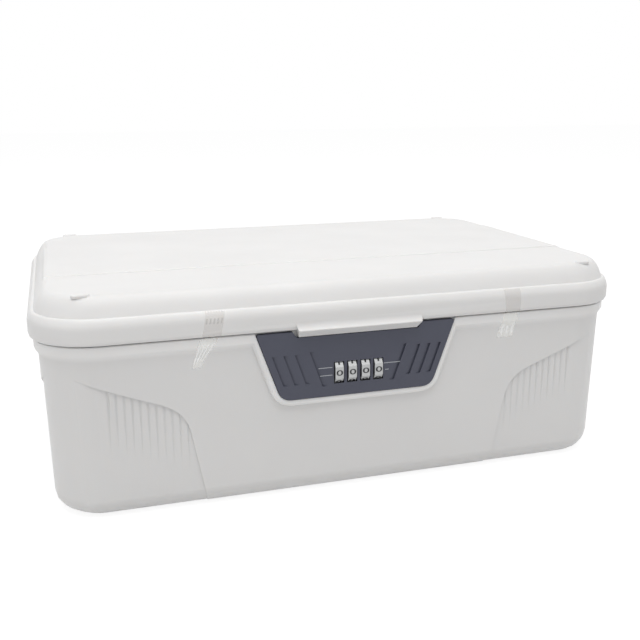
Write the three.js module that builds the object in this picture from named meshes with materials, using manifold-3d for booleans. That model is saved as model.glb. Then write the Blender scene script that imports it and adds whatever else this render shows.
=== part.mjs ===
// Medication lock box: a moulded case with a hinged lid and a four-wheel combination lock.
// Millimetres. +Z is up, +X is to the viewer's right and the lock faces -Y.
// The origin is at the middle of the base, under the centre of the closed box.

import * as THREE from "three";
import { mergeVertices } from "three/addons/utils/BufferGeometryUtils.js";
import Module from "manifold-3d";

const wasm = await Module();
wasm.setup();

// Fits
const GAP = 0.3; // between pieces that seat on each other
const RUN = 0.3; // around pieces that turn or slide
const TINY = 0.01; // keeps joined solids from meeting on one plane
const BITE = 1; // how far cutters reach past what they cut, and added solids into what carries them

// Lid
const WIDTH = 360;
const DEPTH = 240;
const CORNER = 36; // plan radius of the lid's corners
const SEAM_Z = 101.7; // middle of the parting line
const SEAM = 0.8;
const SKIRT_TUCK = 1.3; // how far the skirt's lower edge rolls in
const SKIRT_ROLL = 2.1; // height over which it does so
const SHOULDER_Z = 110.2; // where the skirt starts to lean in
const LEDGE_Z = 116.4; // the fine ledge round the lid
const SHOULDER_IN = 2.7;
const LEDGE_WIDTH = 1.1;
const DOME_RISE = 11;
const DOME_IN = 9.2;
const DOME_LEAN = 70; // degrees from level at the ledge
const LID_WALL = 2.5;
const BAND_DEPTH = 104; // raised band across the lid, front to back
const BAND_RISE = 0.6;
const BAND_SLOPE = 1.2;
const RIB_THICK = 1.6;
const RIB_DROP = 3.6;
const RIB_SPACING = 84;
const RIB_COUNT = 4; // from front to back; two more run across

// Stacking pips on the lid's corners
const PIP_LENGTH = 10;
const PIP_WIDTH = 4;
const PIP_RISE = 0.7;
const PIP_EDGE = 1.4; // width of the pips' sloping sides
const PIP_IN_X = 28.5;
const PIP_IN_Y = 12.5;

// Case
const FLANGE_IN = 2.4; // rim flange, inside the lid's outline
const FLANGE_HEIGHT = 5.1;
const FLANGE_EDGE = 0.5;
const COVE_HEIGHT = 4;
const COVE_IN = 2.2;
const DRAFT = 1.6; // per side, over the height below the cove
const WALL = 2.5;
const FLOOR = 3;
const BODY_CORNER = 31.5;
const BASE_FILLET = 12;
const FOOT_WIDTH = 7; // level ring that the box stands on
const FOOT_RISE = 1.2;
const LIP_HEIGHT = 3.2; // locating lip above the flange
const LIP_WALL = 2;

// Corner panels, let into the case walls, and their fluting
const PANEL_DEPTH = 1.1;
const PANEL_BASE_DEPTH = 0.3; // what is left of it at the base
const PANEL_FADE = 3.3; // sharpens the panel's own corner, so that the step fades out there
const PANEL_PEAK_Z = 86;
const PANEL_BOW_IN = 34; // the upper edge bows towards this point
const PANEL_BOW_Z = 75.3;
const PANEL_KNEE_IN = 62; // from the wall's corner to the start of the knee
const PANEL_KNEE_Z = 64.7;
const PANEL_ROUND_IN = 74.5; // the knee bows towards this point
const PANEL_ROUND_Z = 59.7;
const PANEL_TURN_IN = 77.5; // end of the knee
const PANEL_TURN_Z = 48.5;
const PANEL_FOOT_IN = 87;
const FLUTE_COUNT = 11;
const FLUTE_PITCH = 4.25;
const FLUTE_START_IN = 33.9; // first flute, from the wall's corner
const FLUTE_START_ABOVE = 11; // panel's edge at the first flute, above the knee
const FLUTE_RADIUS = 2.4;
const FLUTE_DEPTH = 0.75;
const FLUTE_LENGTH = 40;
const FLUTE_RUN_IN = 6; // the flute's cutter starts this far above the panel's edge

// Lock plate and its seat on the case
const PLATE_TOP_HALF = 60.3;
const PLATE_BOTTOM_HALF = 46;
const PLATE_BOTTOM_Z = 60.6;
const PLATE_TOP_BELOW_SEAM = 0.9;
const PLATE_THICK = 2.4;
const PLATE_PROUD = 0.9; // in front of the rim flange
const PLATE_ROUND = 6;
const PLATE_TOP_ROUND = 2.4;
const PLATE_CHAMFER = 0.5;
const PLATE_GAP = 0.35;
const NOTCH_HALF = 36.9;
const NOTCH_DEPTH = 3.6;
const NOTCH_LEAN = 2.4;
const BEZEL_WIDTH = 4.2;
const BEZEL_ROUND = 1.8;
const POST_RADIUS = 2.9;
const POST_X = 29;
const POST_SPREAD_Z = 10.5;
const LOUVRE_DEPTH = 1.1;
const LOUVRE_WIDTH = 3.2;
const LOUVRE_PITCH = 6.6;
const LOUVRE_LOW_Z = 69.4;
const LOUVRE_HIGH_Z = 87.2;
const LOUVRE_START = 31.9; // step of the first short louvre, at its foot
const LOUVRE_COUNT = 3;
const LOUVRE_INNER_X = 21.9; // step of the long louvre next to the wheels
const LOUVRE_INNER_BELOW = 2.4; // the long louvre's ends, beyond those of the short ones
const LOUVRE_INNER_ABOVE = 1;

// Lid tab
const TAB_TOP_HALF = 38.2;
const TAB_BOTTOM_HALF = 35.5;
const TAB_TOP_Z = 106.2;
const TAB_DROP = 4.1; // below the seam
const TAB_PROUD = 3.6; // in front of the lid
const TAB_CREST_Z = 102.4; // the face slopes out to the crest, then back in under it for a fingertip
const TAB_CREST_HALF = 0.3; // half the height of the crest's flat

// Wheels
const WHEEL_COUNT = 4;
const WHEEL_PITCH = 8;
const WHEEL_SIDES = 10;
const WHEEL_FLAT = 10.15; // from the axis to a number's flat
const WHEEL_WIDTH = 5;
const WHEEL_PROUD = 1.3; // in front of the lock plate
const WHEEL_Z = 74.6;
const WINDOW_WIDTH = 6.3;
const BAR_THICK = 1.1; // the plate's bars between the windows
const SPLINE_DEPTH = 1.1;
const SPLINE_LENGTH = 1.1; // along the axis, inside the wheel
const SPLINE_ROOT = 0.35; // half the width of a spline at its root, in splines
const SPLINE_CREST = 0.21;

// Code cams and spindle
const SPINDLE_RADIUS = 1.5;
const SLEEVE_RADIUS = 3.4;
const CAM_RADIUS = 6.9;
const CAM_FLAT = 3.9; // from the axis to the cam's flat
const CAM_THICK = 1;

// Striker on the lid
const STRIKER_THICK = 1.2;
const STRIKER_BEHIND = 12.4; // front face, behind the wheel axis
const FINGER_REACH = 5.4; // finger tip, behind the wheel axis
const FINGER_BELOW = 4.9; // finger top, below the wheel axis
const FINGER_WIDTH = 2;
const STRIKER_MARGIN = 1.5;
const STRIKER_TOP_Z = 119;
const BOSS_DEPTH = 8;
const BOSS_BOTTOM_Z = 105;
const BOSS_MARGIN = 3.5;
const STRIKER_SCREW_SPREAD = 16;
const STRIKER_SCREW_Z = 113;

// Lock housing inside the case
const HOUSING_HALF = 24;
const HOUSING_WALL = 2;
const HOUSING_ABOVE = 15.4; // above the wheel axis
const HOUSING_BELOW = 15.2;
const HOUSING_OFF_WALL = 0.35;
const CHEEK = 3.8; // the spindle's bearings stand this far out from its axis
const EAR_WIDTH = 10;
const EAR_THICK = 2.4;
const COVER_THICK = 1.8;
const COVER_CLEAR = 0.8; // behind the striker
const COVER_POST_RADIUS = 3;
const COVER_POST_X = 28;
const SLOT_AHEAD = 3; // room ahead of the finger tips as the lid swings up
const SLOT_SIDE = 1.2;

// Reset slider, its spring and the wheels' detent spring
const SLIDER_THICK = 1.6;
const SLIDER_ARM = 2.6;
const SLIDER_NUB_WIDTH = 5;
const SLIDER_NUB_HEIGHT = 6.4;
const SLIDER_NUB_DEPTH = 2.2;
const SPRING_WIRE = 0.6;
const SPRING_RADIUS = 3.4;
const SPRING_TURNS = 4;
const DETENT_THICK = 0.4;
const DETENT_WIDTH = 3.6;
const DETENT_BEND = 7.1; // the leaves start this far behind the wheel axis
const DETENT_TOE = 0.2; // lift of a leaf's front end off the floor

// Screws
const SCREW_RADIUS = 1.4;
const SCREW_HEAD_RADIUS = 2.7;
const SCREW_HEAD_HEIGHT = 1.7;
const SCREW_CHAMFER = 0.6;
const PLATE_SCREW_LENGTH = 6.5;
const SHORT_SCREW_LENGTH = 7;

// Hinge
const HINGE_BEHIND = 2.2; // axis, behind the lid's rear face
const HINGE_BELOW_SEAM = 5.2;
const HINGE_IN = 65; // hinge's middle, in from the lid's end
const HINGE_WIDTH = 44;
const KNUCKLE_RADIUS = 4;
const KNUCKLE_WIDTH = 10;
const HINGE_PIN_RADIUS = 1.5;
const HINGE_OPEN = 105; // degrees
const ARM_TOP_ABOVE_SEAM = 9;
const ARM_REAR_ABOVE_SEAM = 2;
const SHELF_ROOT = 14; // thickness of the shelf under the hinge, at the wall
const SHELF_CHIN = 3;
const SHELF_TIP = 2; // and at its rear edge
const WEB_REAR = 6.4; // height of the web that carries a knuckle, at its rear

// Facets
const CORNER_STEPS = 7;
const ROUND_STEPS = 16;
const ROD_STEPS = 12;
const SCREW_STEPS = 8;
const FLUTE_SIDES = 6;
const FILLET_STEPS = 4;
const DOME_STEPS = 6;
const SHOULDER_STEPS = 4;
const CURVE_STEPS = 6;
const DISC_STEPS = 8;
const BEVEL_STEPS = 2;
const PIP_STEPS = 3;
const COIL_STEPS = 7;
const WIRE_STEPS = 3;
const WELD = 1e-4; // corners closer than this are one

// Finishes
const WHITE_PLASTIC = finish(0xe8e7e6, 0.42, 0);
const SLATE_PLASTIC = finish(0x4f535b, 0.5, 0);
const GREY_PLASTIC = finish(0xb9bcbf, 0.55, 0);
const WHEEL_METAL = finish(0xc9cbcd, 0.35, 0.6);
const STEEL = finish(0x9a9da1, 0.3, 1);

// Places worked out from the sizes above
const HALF_W = WIDTH / 2;
const HALF_D = DEPTH / 2;
const HINGE_X = HALF_W - HINGE_IN;
const SKIRT_BOTTOM = SEAM_Z + SEAM / 2;
const FLANGE_TOP = SEAM_Z - SEAM / 2;
const FLANGE_BOTTOM = FLANGE_TOP - FLANGE_HEIGHT;
const COVE_BOTTOM = FLANGE_BOTTOM - COVE_HEIGHT;
const WALL_IN = FLANGE_IN + COVE_IN;
const LID_TOP = LEDGE_Z + DOME_RISE;
const LID_UNDERSIDE = LID_TOP - LID_WALL;
const FLANGE_Y = -(HALF_D - FLANGE_IN);
const PLATE_FRONT = FLANGE_Y - PLATE_PROUD;
const PLATE_BACK = PLATE_FRONT + PLATE_THICK;
const PLATE_TOP_Z = SEAM_Z - PLATE_TOP_BELOW_SEAM;
const WHEEL_Y = PLATE_FRONT - WHEEL_PROUD + WHEEL_FLAT;
const WHEEL_AXIS = [0, WHEEL_Y, WHEEL_Z];
const WHEEL_CORNER = WHEEL_FLAT / Math.cos(Math.PI / WHEEL_SIDES);
const CAM_RIGHT = WHEEL_WIDTH / 2 + RUN + CAM_THICK; // cam's right face, from its wheel's middle
const CAM_LEFT = CAM_RIGHT - WHEEL_PITCH + RUN;
const STACK_HALF = WHEEL_PITCH * (WHEEL_COUNT - 1) / 2 + CAM_RIGHT;
const STACK_LEFT = -WHEEL_PITCH * (WHEEL_COUNT - 1) / 2 + CAM_LEFT;
const RESET_TRAVEL = WHEEL_PITCH - WHEEL_WIDTH - CAM_THICK - 2 * RUN;
const STRIKER_Y = WHEEL_Y + STRIKER_BEHIND;
const COVER_Y = STRIKER_Y + STRIKER_THICK + COVER_CLEAR;
const HOUSING_FRONT = -(HALF_D - wallInset(WHEEL_Z - HOUSING_BELOW) - WALL - HOUSING_OFF_WALL);
const HINGE_Y = HALF_D + HINGE_BEHIND;
const HINGE_Z = SEAM_Z - HINGE_BELOW_SEAM;
const CENTRE_Y = (HALF_D + TAB_PROUD - HINGE_Y - KNUCKLE_RADIUS) / 2;

// Material of a piece: colour, roughness and metalness
function finish(color, roughness, metalness) {
  return new THREE.MeshStandardMaterial({ color, roughness, metalness });
}

// Solids and meshes

function toSolid(geometry) {
  const bare = geometry.clone();
  for (const name of Object.keys(bare.attributes)) {
    if (name !== "position") bare.deleteAttribute(name);
  }
  const merged = mergeVertices(bare, WELD);
  const vertProperties = new Float32Array(merged.attributes.position.array);
  const triVerts = new Uint32Array(merged.index.array);
  return new wasm.Manifold(new wasm.Mesh({ numProp: 3, vertProperties, triVerts }));
}

function toGeometry(solid) {
  const mesh = solid.getMesh();
  const geometry = new THREE.BufferGeometry();
  geometry.setAttribute("position", new THREE.BufferAttribute(new Float32Array(mesh.vertProperties), 3));
  geometry.setIndex(new THREE.BufferAttribute(new Uint32Array(mesh.triVerts), 1));
  geometry.computeVertexNormals();
  return geometry;
}

function join(solids) {
  return solids.reduce((whole, piece) => whole.add(piece));
}

const box = new THREE.Group();
box.name = "medication_lock_box";
box.position.y = CENTRE_Y;

function place(name, solid, material, position = [0, 0, 0]) {
  const mesh = new THREE.Mesh(toGeometry(solid), material);
  mesh.name = name;
  mesh.position.set(...position);
  box.add(mesh);
}

// Extrusions along the three axes, between two stations

function alongZ(shape, low, high) {
  const settings = { depth: high - low, bevelEnabled: false, curveSegments: CURVE_STEPS };
  const geometry = new THREE.ExtrudeGeometry(shape, settings);
  return toSolid(geometry.translate(0, 0, low));
}

// The shape is drawn in X and Z, and its front is at the low Y
function alongY(shape, low, high, bevel = 0) {
  const settings = { depth: high - low - 2 * bevel, bevelEnabled: bevel > 0, curveSegments: CURVE_STEPS };
  Object.assign(settings, { bevelThickness: bevel, bevelSize: bevel, bevelOffset: -bevel });
  settings.bevelSegments = BEVEL_STEPS;
  const geometry = new THREE.ExtrudeGeometry(shape, settings);
  return toSolid(geometry.rotateX(Math.PI / 2).translate(0, high - bevel, 0));
}

// The shape is drawn in Y and Z
function alongX(shape, low, high) {
  const settings = { depth: high - low, bevelEnabled: false, curveSegments: DISC_STEPS };
  const geometry = new THREE.ExtrudeGeometry(shape, settings);
  geometry.applyMatrix4(new THREE.Matrix4().makeBasis(
    new THREE.Vector3(0, 1, 0), new THREE.Vector3(0, 0, 1), new THREE.Vector3(1, 0, 0)));
  return toSolid(geometry.translate(low, 0, 0));
}

function polygon(points) {
  return new THREE.Shape(points.map(([across, up]) => new THREE.Vector2(across, up)));
}

function block([x0, x1], [y0, y1], [z0, z1]) {
  const geometry = new THREE.BoxGeometry(x1 - x0, y1 - y0, z1 - z0);
  return toSolid(geometry.translate((x0 + x1) / 2, (y0 + y1) / 2, (z0 + z1) / 2));
}

// A rod between two stations along X or Y, through the point given by the other two
function rodX(radius, low, high, y, z, steps = ROUND_STEPS) {
  const geometry = new THREE.CylinderGeometry(radius, radius, high - low, steps);
  return toSolid(geometry.rotateZ(-Math.PI / 2).translate((low + high) / 2, y, z));
}

function rodY(radius, low, high, x, z, steps = ROD_STEPS) {
  const geometry = new THREE.CylinderGeometry(radius, radius, high - low, steps);
  return toSolid(geometry.translate(x, (low + high) / 2, z));
}

// Shells lofted through rounded rectangles, each set in from the lid's outline

function outline([inset, z, radius]) {
  const points = [];
  const halfW = HALF_W - inset;
  const halfD = HALF_D - inset;
  const turns = [[1, 1], [-1, 1], [-1, -1], [1, -1]];
  turns.forEach(([sideX, sideY], quarter) => {
    for (let step = 0; step <= CORNER_STEPS; step += 1) {
      const angle = (quarter + step / CORNER_STEPS) * Math.PI / 2;
      const x = sideX * (halfW - radius) + radius * Math.cos(angle);
      const y = sideY * (halfD - radius) + radius * Math.sin(angle);
      points.push(new THREE.Vector3(x, y, z));
    }
  });
  return points;
}

function loft(sections) {
  const rings = sections.map(outline);
  const count = rings[0].length;
  const first = sections[0][1];
  const last = sections[sections.length - 1][1];
  const points = rings.flat().concat(new THREE.Vector3(0, 0, first), new THREE.Vector3(0, 0, last));
  const faces = [];
  const startHub = points.length - 2;
  const endHub = points.length - 1;
  const endRing = (rings.length - 1) * count;
  for (let i = 0; i < count; i += 1) {
    const next = (i + 1) % count;
    for (let ring = 0; ring < endRing; ring += count) {
      faces.push(ring + i, ring + next, ring + count + next);
      faces.push(ring + i, ring + count + next, ring + count + i);
    }
    faces.push(startHub, next, i);
    faces.push(endHub, endRing + i, endRing + next);
  }
  const geometry = new THREE.BufferGeometry().setFromPoints(points);
  geometry.setIndex(faces);
  return toSolid(geometry);
}

// Walls of the case

function wallInset(z) {
  return WALL_IN + DRAFT * Math.max(0, 1 - z / COVE_BOTTOM);
}

// Sections up the outside of the case from its base to the cove. They are set in by extra, raised by
// lift, and have corners that are tighter by sharpen.
function wallSections(extra, lift, sharpen = 0) {
  const round = BASE_FILLET - extra;
  const sections = [];
  for (let step = 0; step <= FILLET_STEPS; step += 1) {
    const angle = (1 - step / FILLET_STEPS) * Math.PI / 2;
    const inward = round * (1 - Math.cos(angle));
    const z = lift + round * (1 - Math.sin(angle));
    sections.push([wallInset(z) + extra + inward, z, BODY_CORNER - extra - inward - sharpen]);
  }
  sections.push([WALL_IN + extra, COVE_BOTTOM, BODY_CORNER - extra - sharpen]);
  return sections;
}

function caseShell() {
  const outside = wallSections(0, 0);
  const [footIn, , footRadius] = outside[0];
  const footEdge = FOOT_WIDTH + FOOT_RISE;
  const foot = [
    [footIn + footEdge, FOOT_RISE, footRadius - footEdge],
    [footIn + FOOT_WIDTH, 0, footRadius - FOOT_WIDTH],
  ];
  const rim = CORNER - FLANGE_IN;
  const lipOut = WALL_IN + WALL - LIP_WALL;
  const lipTop = FLANGE_TOP + LIP_HEIGHT;
  const top = [
    [FLANGE_IN, FLANGE_BOTTOM, rim],
    [FLANGE_IN, FLANGE_TOP - FLANGE_EDGE, rim],
    [FLANGE_IN + FLANGE_EDGE, FLANGE_TOP, rim - FLANGE_EDGE],
    [lipOut, FLANGE_TOP, BODY_CORNER - WALL + LIP_WALL],
    [lipOut, lipTop - FLANGE_EDGE, BODY_CORNER - WALL + LIP_WALL],
    [lipOut + FLANGE_EDGE, lipTop, BODY_CORNER - WALL + LIP_WALL - FLANGE_EDGE],
    [WALL_IN + WALL, lipTop, BODY_CORNER - WALL],
  ];
  const inside = wallSections(WALL, FLOOR).reverse();
  return loft([...foot, ...outside, ...top, ...inside]);
}

// Outline of a corner panel: a slope from the corner, a knee and a leaning foot.
// Distances run from the wall's corner towards its middle.
function panelOutline(cornerAt, sign) {
  const at = (inward) => cornerAt - sign * inward;
  const shape = new THREE.Shape();
  const peakIn = BODY_CORNER * (1 - Math.SQRT1_2);
  shape.moveTo(at(peakIn), -BITE);
  shape.lineTo(at(peakIn), PANEL_PEAK_Z);
  shape.quadraticCurveTo(at(PANEL_BOW_IN), PANEL_BOW_Z, at(PANEL_KNEE_IN), PANEL_KNEE_Z);
  shape.quadraticCurveTo(at(PANEL_ROUND_IN), PANEL_ROUND_Z, at(PANEL_TURN_IN), PANEL_TURN_Z);
  shape.lineTo(at(PANEL_FOOT_IN), -BITE);
  return shape;
}

function panelHeight(inward) {
  const run = (inward - FLUTE_START_IN) / (PANEL_KNEE_IN - FLUTE_START_IN);
  const startZ = PANEL_KNEE_Z + FLUTE_START_ABOVE;
  return startZ + (PANEL_KNEE_Z - startZ) * run;
}

// A flute starts above the panel's edge and fades out as it leaves the wall lower down.
// It is made on the front wall, and turned with it for the other three walls.
function flute(along, inward, out, turn) {
  const top = panelHeight(inward) + FLUTE_RUN_IN;
  const drop = FLUTE_LENGTH + FLUTE_RUN_IN;
  const sink = FLUTE_DEPTH * drop / FLUTE_LENGTH;
  const surface = out - wallInset(top) - PANEL_DEPTH;
  const lean = Math.atan2(sink + wallInset(top) - wallInset(top - drop), drop);
  const geometry = new THREE.CylinderGeometry(FLUTE_RADIUS, FLUTE_RADIUS, drop, FLUTE_SIDES);
  geometry.translate(0, -drop / 2, 0).rotateX(Math.PI / 2 - lean);
  return toSolid(geometry.translate(along, sink - FLUTE_RADIUS - surface, top).rotateZ(turn));
}

function cornerPanels() {
  const cutters = [];
  for (const sign of [-1, 1]) {
    cutters.push(alongY(panelOutline(sign * (HALF_W - WALL_IN), sign), -DEPTH, DEPTH));
    cutters.push(alongX(panelOutline(sign * (HALF_D - WALL_IN), sign), -WIDTH, WIDTH));
  }
  return join(cutters);
}

function cornerFlutes() {
  const flutes = [];
  for (let index = 0; index < FLUTE_COUNT; index += 1) {
    const inward = FLUTE_START_IN + index * FLUTE_PITCH;
    for (const side of [-1, 1]) {
      for (let wall = 0; wall < 4; wall += 1) {
        const [across, out] = wall % 2 === 0 ? [HALF_W, HALF_D] : [HALF_D, HALF_W];
        flutes.push(flute(side * (across - WALL_IN - inward), inward, out, wall * Math.PI / 2));
      }
    }
  }
  return join(flutes);
}

// Lock plate and the seat for it

// The plate's outline, grown all round. It has round top corners, or is carried straight up by rise.
function plateShape(grow, rise = 0) {
  const lean = (PLATE_TOP_HALF - PLATE_BOTTOM_HALF) / (PLATE_TOP_Z - PLATE_BOTTOM_Z);
  const side = grow * Math.hypot(1, lean);
  const halfAt = (z) => PLATE_BOTTOM_HALF + (z - PLATE_BOTTOM_Z) * lean + side;
  const low = PLATE_BOTTOM_Z - grow;
  const round = PLATE_ROUND + grow;
  const alongSide = round / Math.hypot(1, lean);
  const shape = new THREE.Shape();
  const shoulder = PLATE_TOP_Z - PLATE_TOP_ROUND;
  if (rise > 0) {
    shape.moveTo(-halfAt(PLATE_TOP_Z), PLATE_TOP_Z + rise);
    shape.lineTo(-halfAt(PLATE_TOP_Z), PLATE_TOP_Z);
  } else {
    shape.moveTo(-halfAt(PLATE_TOP_Z) + PLATE_TOP_ROUND, PLATE_TOP_Z);
    shape.quadraticCurveTo(-halfAt(PLATE_TOP_Z), PLATE_TOP_Z, -halfAt(shoulder), shoulder);
  }
  shape.lineTo(-halfAt(low + alongSide), low + alongSide);
  shape.quadraticCurveTo(-halfAt(low), low, -halfAt(low) + round, low);
  shape.lineTo(halfAt(low) - round, low);
  shape.quadraticCurveTo(halfAt(low), low, halfAt(low + alongSide), low + alongSide);
  if (rise > 0) {
    shape.lineTo(halfAt(PLATE_TOP_Z), PLATE_TOP_Z);
    shape.lineTo(halfAt(PLATE_TOP_Z), PLATE_TOP_Z + rise);
  } else {
    shape.lineTo(halfAt(shoulder), shoulder);
    shape.quadraticCurveTo(halfAt(PLATE_TOP_Z), PLATE_TOP_Z, halfAt(PLATE_TOP_Z) - PLATE_TOP_ROUND, PLATE_TOP_Z);
  }
  return shape;
}

function notch() {
  const low = PLATE_TOP_Z - NOTCH_DEPTH;
  const high = PLATE_TOP_Z + NOTCH_DEPTH;
  const wide = NOTCH_HALF + 2 * NOTCH_LEAN;
  return polygon([[-NOTCH_HALF, low], [NOTCH_HALF, low], [wide, high], [-wide, high]]);
}

function wheelX(index) {
  return (index - (WHEEL_COUNT - 1) / 2) * WHEEL_PITCH;
}

function forPosts(make) {
  const solids = [];
  for (const x of [-POST_X, POST_X]) {
    for (const z of [WHEEL_Z - POST_SPREAD_Z, WHEEL_Z + POST_SPREAD_Z]) {
      solids.push(make(x, z));
    }
  }
  return solids;
}

// A louvre is a leaning wedge that gets deeper away from the wheels and ends there in a steep step
function louvre(side, x, low, high) {
  const front = PLATE_FRONT - LOUVRE_DEPTH;
  const wedge = polygon([[0, front], [0, PLATE_FRONT + LOUVRE_DEPTH], [-2 * side * LOUVRE_WIDTH, front]]);
  const lean = side * (PLATE_TOP_HALF - PLATE_BOTTOM_HALF) / (PLATE_TOP_Z - PLATE_BOTTOM_Z);
  const geometry = new THREE.ExtrudeGeometry(wedge, { depth: high - low, bevelEnabled: false });
  geometry.applyMatrix4(new THREE.Matrix4().makeShear(0, 0, 0, 0, lean, 0));
  return toSolid(geometry.translate(side * x, 0, low));
}

function louvres() {
  const cuts = [];
  for (const side of [-1, 1]) {
    cuts.push(louvre(side, LOUVRE_INNER_X, LOUVRE_LOW_Z - LOUVRE_INNER_BELOW, LOUVRE_HIGH_Z + LOUVRE_INNER_ABOVE));
    for (let index = 0; index < LOUVRE_COUNT; index += 1) {
      cuts.push(louvre(side, LOUVRE_START + index * LOUVRE_PITCH, LOUVRE_LOW_Z, LOUVRE_HIGH_Z));
    }
  }
  return join(cuts);
}

function lockPlate() {
  let plate = alongY(plateShape(0), PLATE_FRONT, PLATE_BACK);
  const bevelled = alongY(plateShape(0), PLATE_FRONT, PLATE_BACK + PLATE_CHAMFER, PLATE_CHAMFER);
  plate = plate.intersect(bevelled);
  plate = plate.subtract(alongY(notch(), PLATE_FRONT - BITE, PLATE_BACK + BITE));
  const postEnd = HOUSING_FRONT - GAP;
  plate = plate.add(join(forPosts((x, z) => rodY(POST_RADIUS, PLATE_BACK - TINY, postEnd, x, z))));
  const recessHalf = STACK_HALF + RESET_TRAVEL + RUN;
  const recess = block([-recessHalf, recessHalf], [PLATE_FRONT + BAR_THICK, PLATE_BACK + BITE],
    [WHEEL_Z - WHEEL_FLAT, WHEEL_Z + WHEEL_FLAT]);
  const windows = [];
  for (let index = 0; index < WHEEL_COUNT; index += 1) {
    const x = wheelX(index);
    const sides = [x - WINDOW_WIDTH / 2, x + WINDOW_WIDTH / 2];
    windows.push(rodX(WHEEL_CORNER + RUN, ...sides, WHEEL_Y, WHEEL_Z, 2 * ROUND_STEPS));
  }
  plate = plate.subtract(join([recess, ...windows, louvres()]));
  const pilotStart = postEnd - PLATE_SCREW_LENGTH + EAR_THICK;
  return plate.subtract(join(forPosts((x, z) => rodY(SCREW_RADIUS + RUN, pilotStart, postEnd + BITE, x, z))));
}

// Raised frame round the lock plate, and its opening for the wheels

function bezel() {
  const back = -(HALF_D - wallInset(PLATE_BOTTOM_Z)) + BITE;
  const frame = alongY(plateShape(BEZEL_WIDTH, LIP_HEIGHT), FLANGE_Y, back + BEZEL_ROUND, BEZEL_ROUND);
  return frame.subtract(block([-HALF_W, HALF_W], [-HALF_D, back + 2 * BEZEL_ROUND], [FLANGE_BOTTOM, LID_TOP]));
}

function plateSeat() {
  const seat = PLATE_BACK + GAP;
  const pocket = alongY(plateShape(PLATE_GAP, 2 * LIP_HEIGHT), FLANGE_Y - BITE, seat);
  const half = HOUSING_HALF + GAP;
  const tall = WHEEL_CORNER + RUN;
  const aperture = block([-half, half], [-HALF_D, -HALF_D / 2], [WHEEL_Z - tall, WHEEL_Z + tall]);
  const holes = forPosts((x, z) => rodY(POST_RADIUS + RUN, -HALF_D, -HALF_D / 2, x, z));
  return join([pocket, aperture, ...holes]);
}

// Hinge

function hingeShelf(side) {
  const angle = THREE.MathUtils.degToRad(-HINGE_OPEN);
  const normal = new THREE.Vector2(Math.cos(angle), Math.sin(angle));
  const clear = KNUCKLE_RADIUS + RUN;
  const topAt = (y) => HINGE_Z + (clear - normal.x * (y - HINGE_Y)) / normal.y;
  const rear = HINGE_Y + KNUCKLE_RADIUS;
  const root = HALF_D - WALL_IN - BITE;
  const profile = polygon([
    [root, topAt(root)], [root, topAt(root) - SHELF_ROOT],
    [rear - SHELF_CHIN, topAt(rear) - SHELF_TIP - SHELF_CHIN],
    [rear, topAt(rear) - SHELF_TIP], [rear, topAt(rear)],
  ]);
  return alongX(profile, side * HINGE_X - HINGE_WIDTH / 2, side * HINGE_X + HINGE_WIDTH / 2);
}

function caseKnuckle(low) {
  const high = low + KNUCKLE_WIDTH;
  const round = rodX(KNUCKLE_RADIUS, low, high, HINGE_Y, HINGE_Z);
  const root = HALF_D - WALL_IN - BITE;
  const rear = HINGE_Y + KNUCKLE_RADIUS;
  const web = polygon([
    [root, HINGE_Z], [root, HINGE_Z - 2 * KNUCKLE_RADIUS], [rear, HINGE_Z - WEB_REAR], [rear, HINGE_Z],
  ]);
  return round.add(alongX(web, low, high));
}

function caseHinge(side) {
  const left = side * HINGE_X - HINGE_WIDTH / 2;
  const right = side * HINGE_X + HINGE_WIDTH / 2 - KNUCKLE_WIDTH;
  return join([hingeShelf(side), caseKnuckle(left), caseKnuckle(right)]);
}

function hingeBore(side) {
  const centre = side * HINGE_X;
  return rodX(HINGE_PIN_RADIUS + RUN, centre - HINGE_WIDTH, centre + HINGE_WIDTH, HINGE_Y, HINGE_Z, ROD_STEPS);
}

function lidHinge(side) {
  const half = HINGE_WIDTH / 2 - KNUCKLE_WIDTH - RUN;
  const low = side * HINGE_X - half;
  const high = side * HINGE_X + half;
  const near = HINGE_Y - KNUCKLE_RADIUS;
  const rear = HINGE_Y + KNUCKLE_RADIUS;
  const skirt = HALF_D - LID_WALL / 2;
  const top = SEAM_Z + ARM_TOP_ABOVE_SEAM;
  const arm = polygon([
    [near, HINGE_Z], [rear, HINGE_Z], [rear, SEAM_Z + ARM_REAR_ABOVE_SEAM], [HALF_D + BITE, top],
    [skirt, top], [skirt, SKIRT_BOTTOM + BITE], [near, SKIRT_BOTTOM - BITE],
  ]);
  return rodX(KNUCKLE_RADIUS, low, high, HINGE_Y, HINGE_Z).add(alongX(arm, low, high));
}

function hingePin(side) {
  const half = HINGE_WIDTH / 2;
  return rodX(HINGE_PIN_RADIUS, side * HINGE_X - half, side * HINGE_X + half, HINGE_Y, HINGE_Z, ROD_STEPS);
}

// Case

function caseTub() {
  const panels = cornerPanels();
  const core = wallSections(PANEL_DEPTH, PANEL_BASE_DEPTH, PANEL_FADE);
  const [baseIn, , baseRadius] = core[0];
  const [topIn, , topRadius] = core[core.length - 1];
  const plug = loft([[baseIn, -DEPTH, baseRadius], ...core, [topIn, LID_TOP, topRadius]]);
  const recess = panels.subtract(plug);
  const fluting = cornerFlutes().intersect(panels);
  return join([caseShell().subtract(recess).subtract(fluting), bezel(), caseHinge(-1), caseHinge(1)])
    .subtract(join([plateSeat(), hingeBore(-1), hingeBore(1)]));
}

// Lid

function domeSections(extra, rise) {
  const start = new THREE.Vector2(SHOULDER_IN + LEDGE_WIDTH, LEDGE_Z);
  const end = new THREE.Vector2(start.x + DOME_IN, LID_TOP + rise);
  const knee = start.x + (end.y - start.y) / Math.tan(THREE.MathUtils.degToRad(DOME_LEAN));
  const curve = new THREE.QuadraticBezierCurve(start, new THREE.Vector2(knee, end.y), end);
  return curve.getPoints(DOME_STEPS).map(({ x, y }) => [x + extra, y - extra, CORNER - x - extra]);
}

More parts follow.
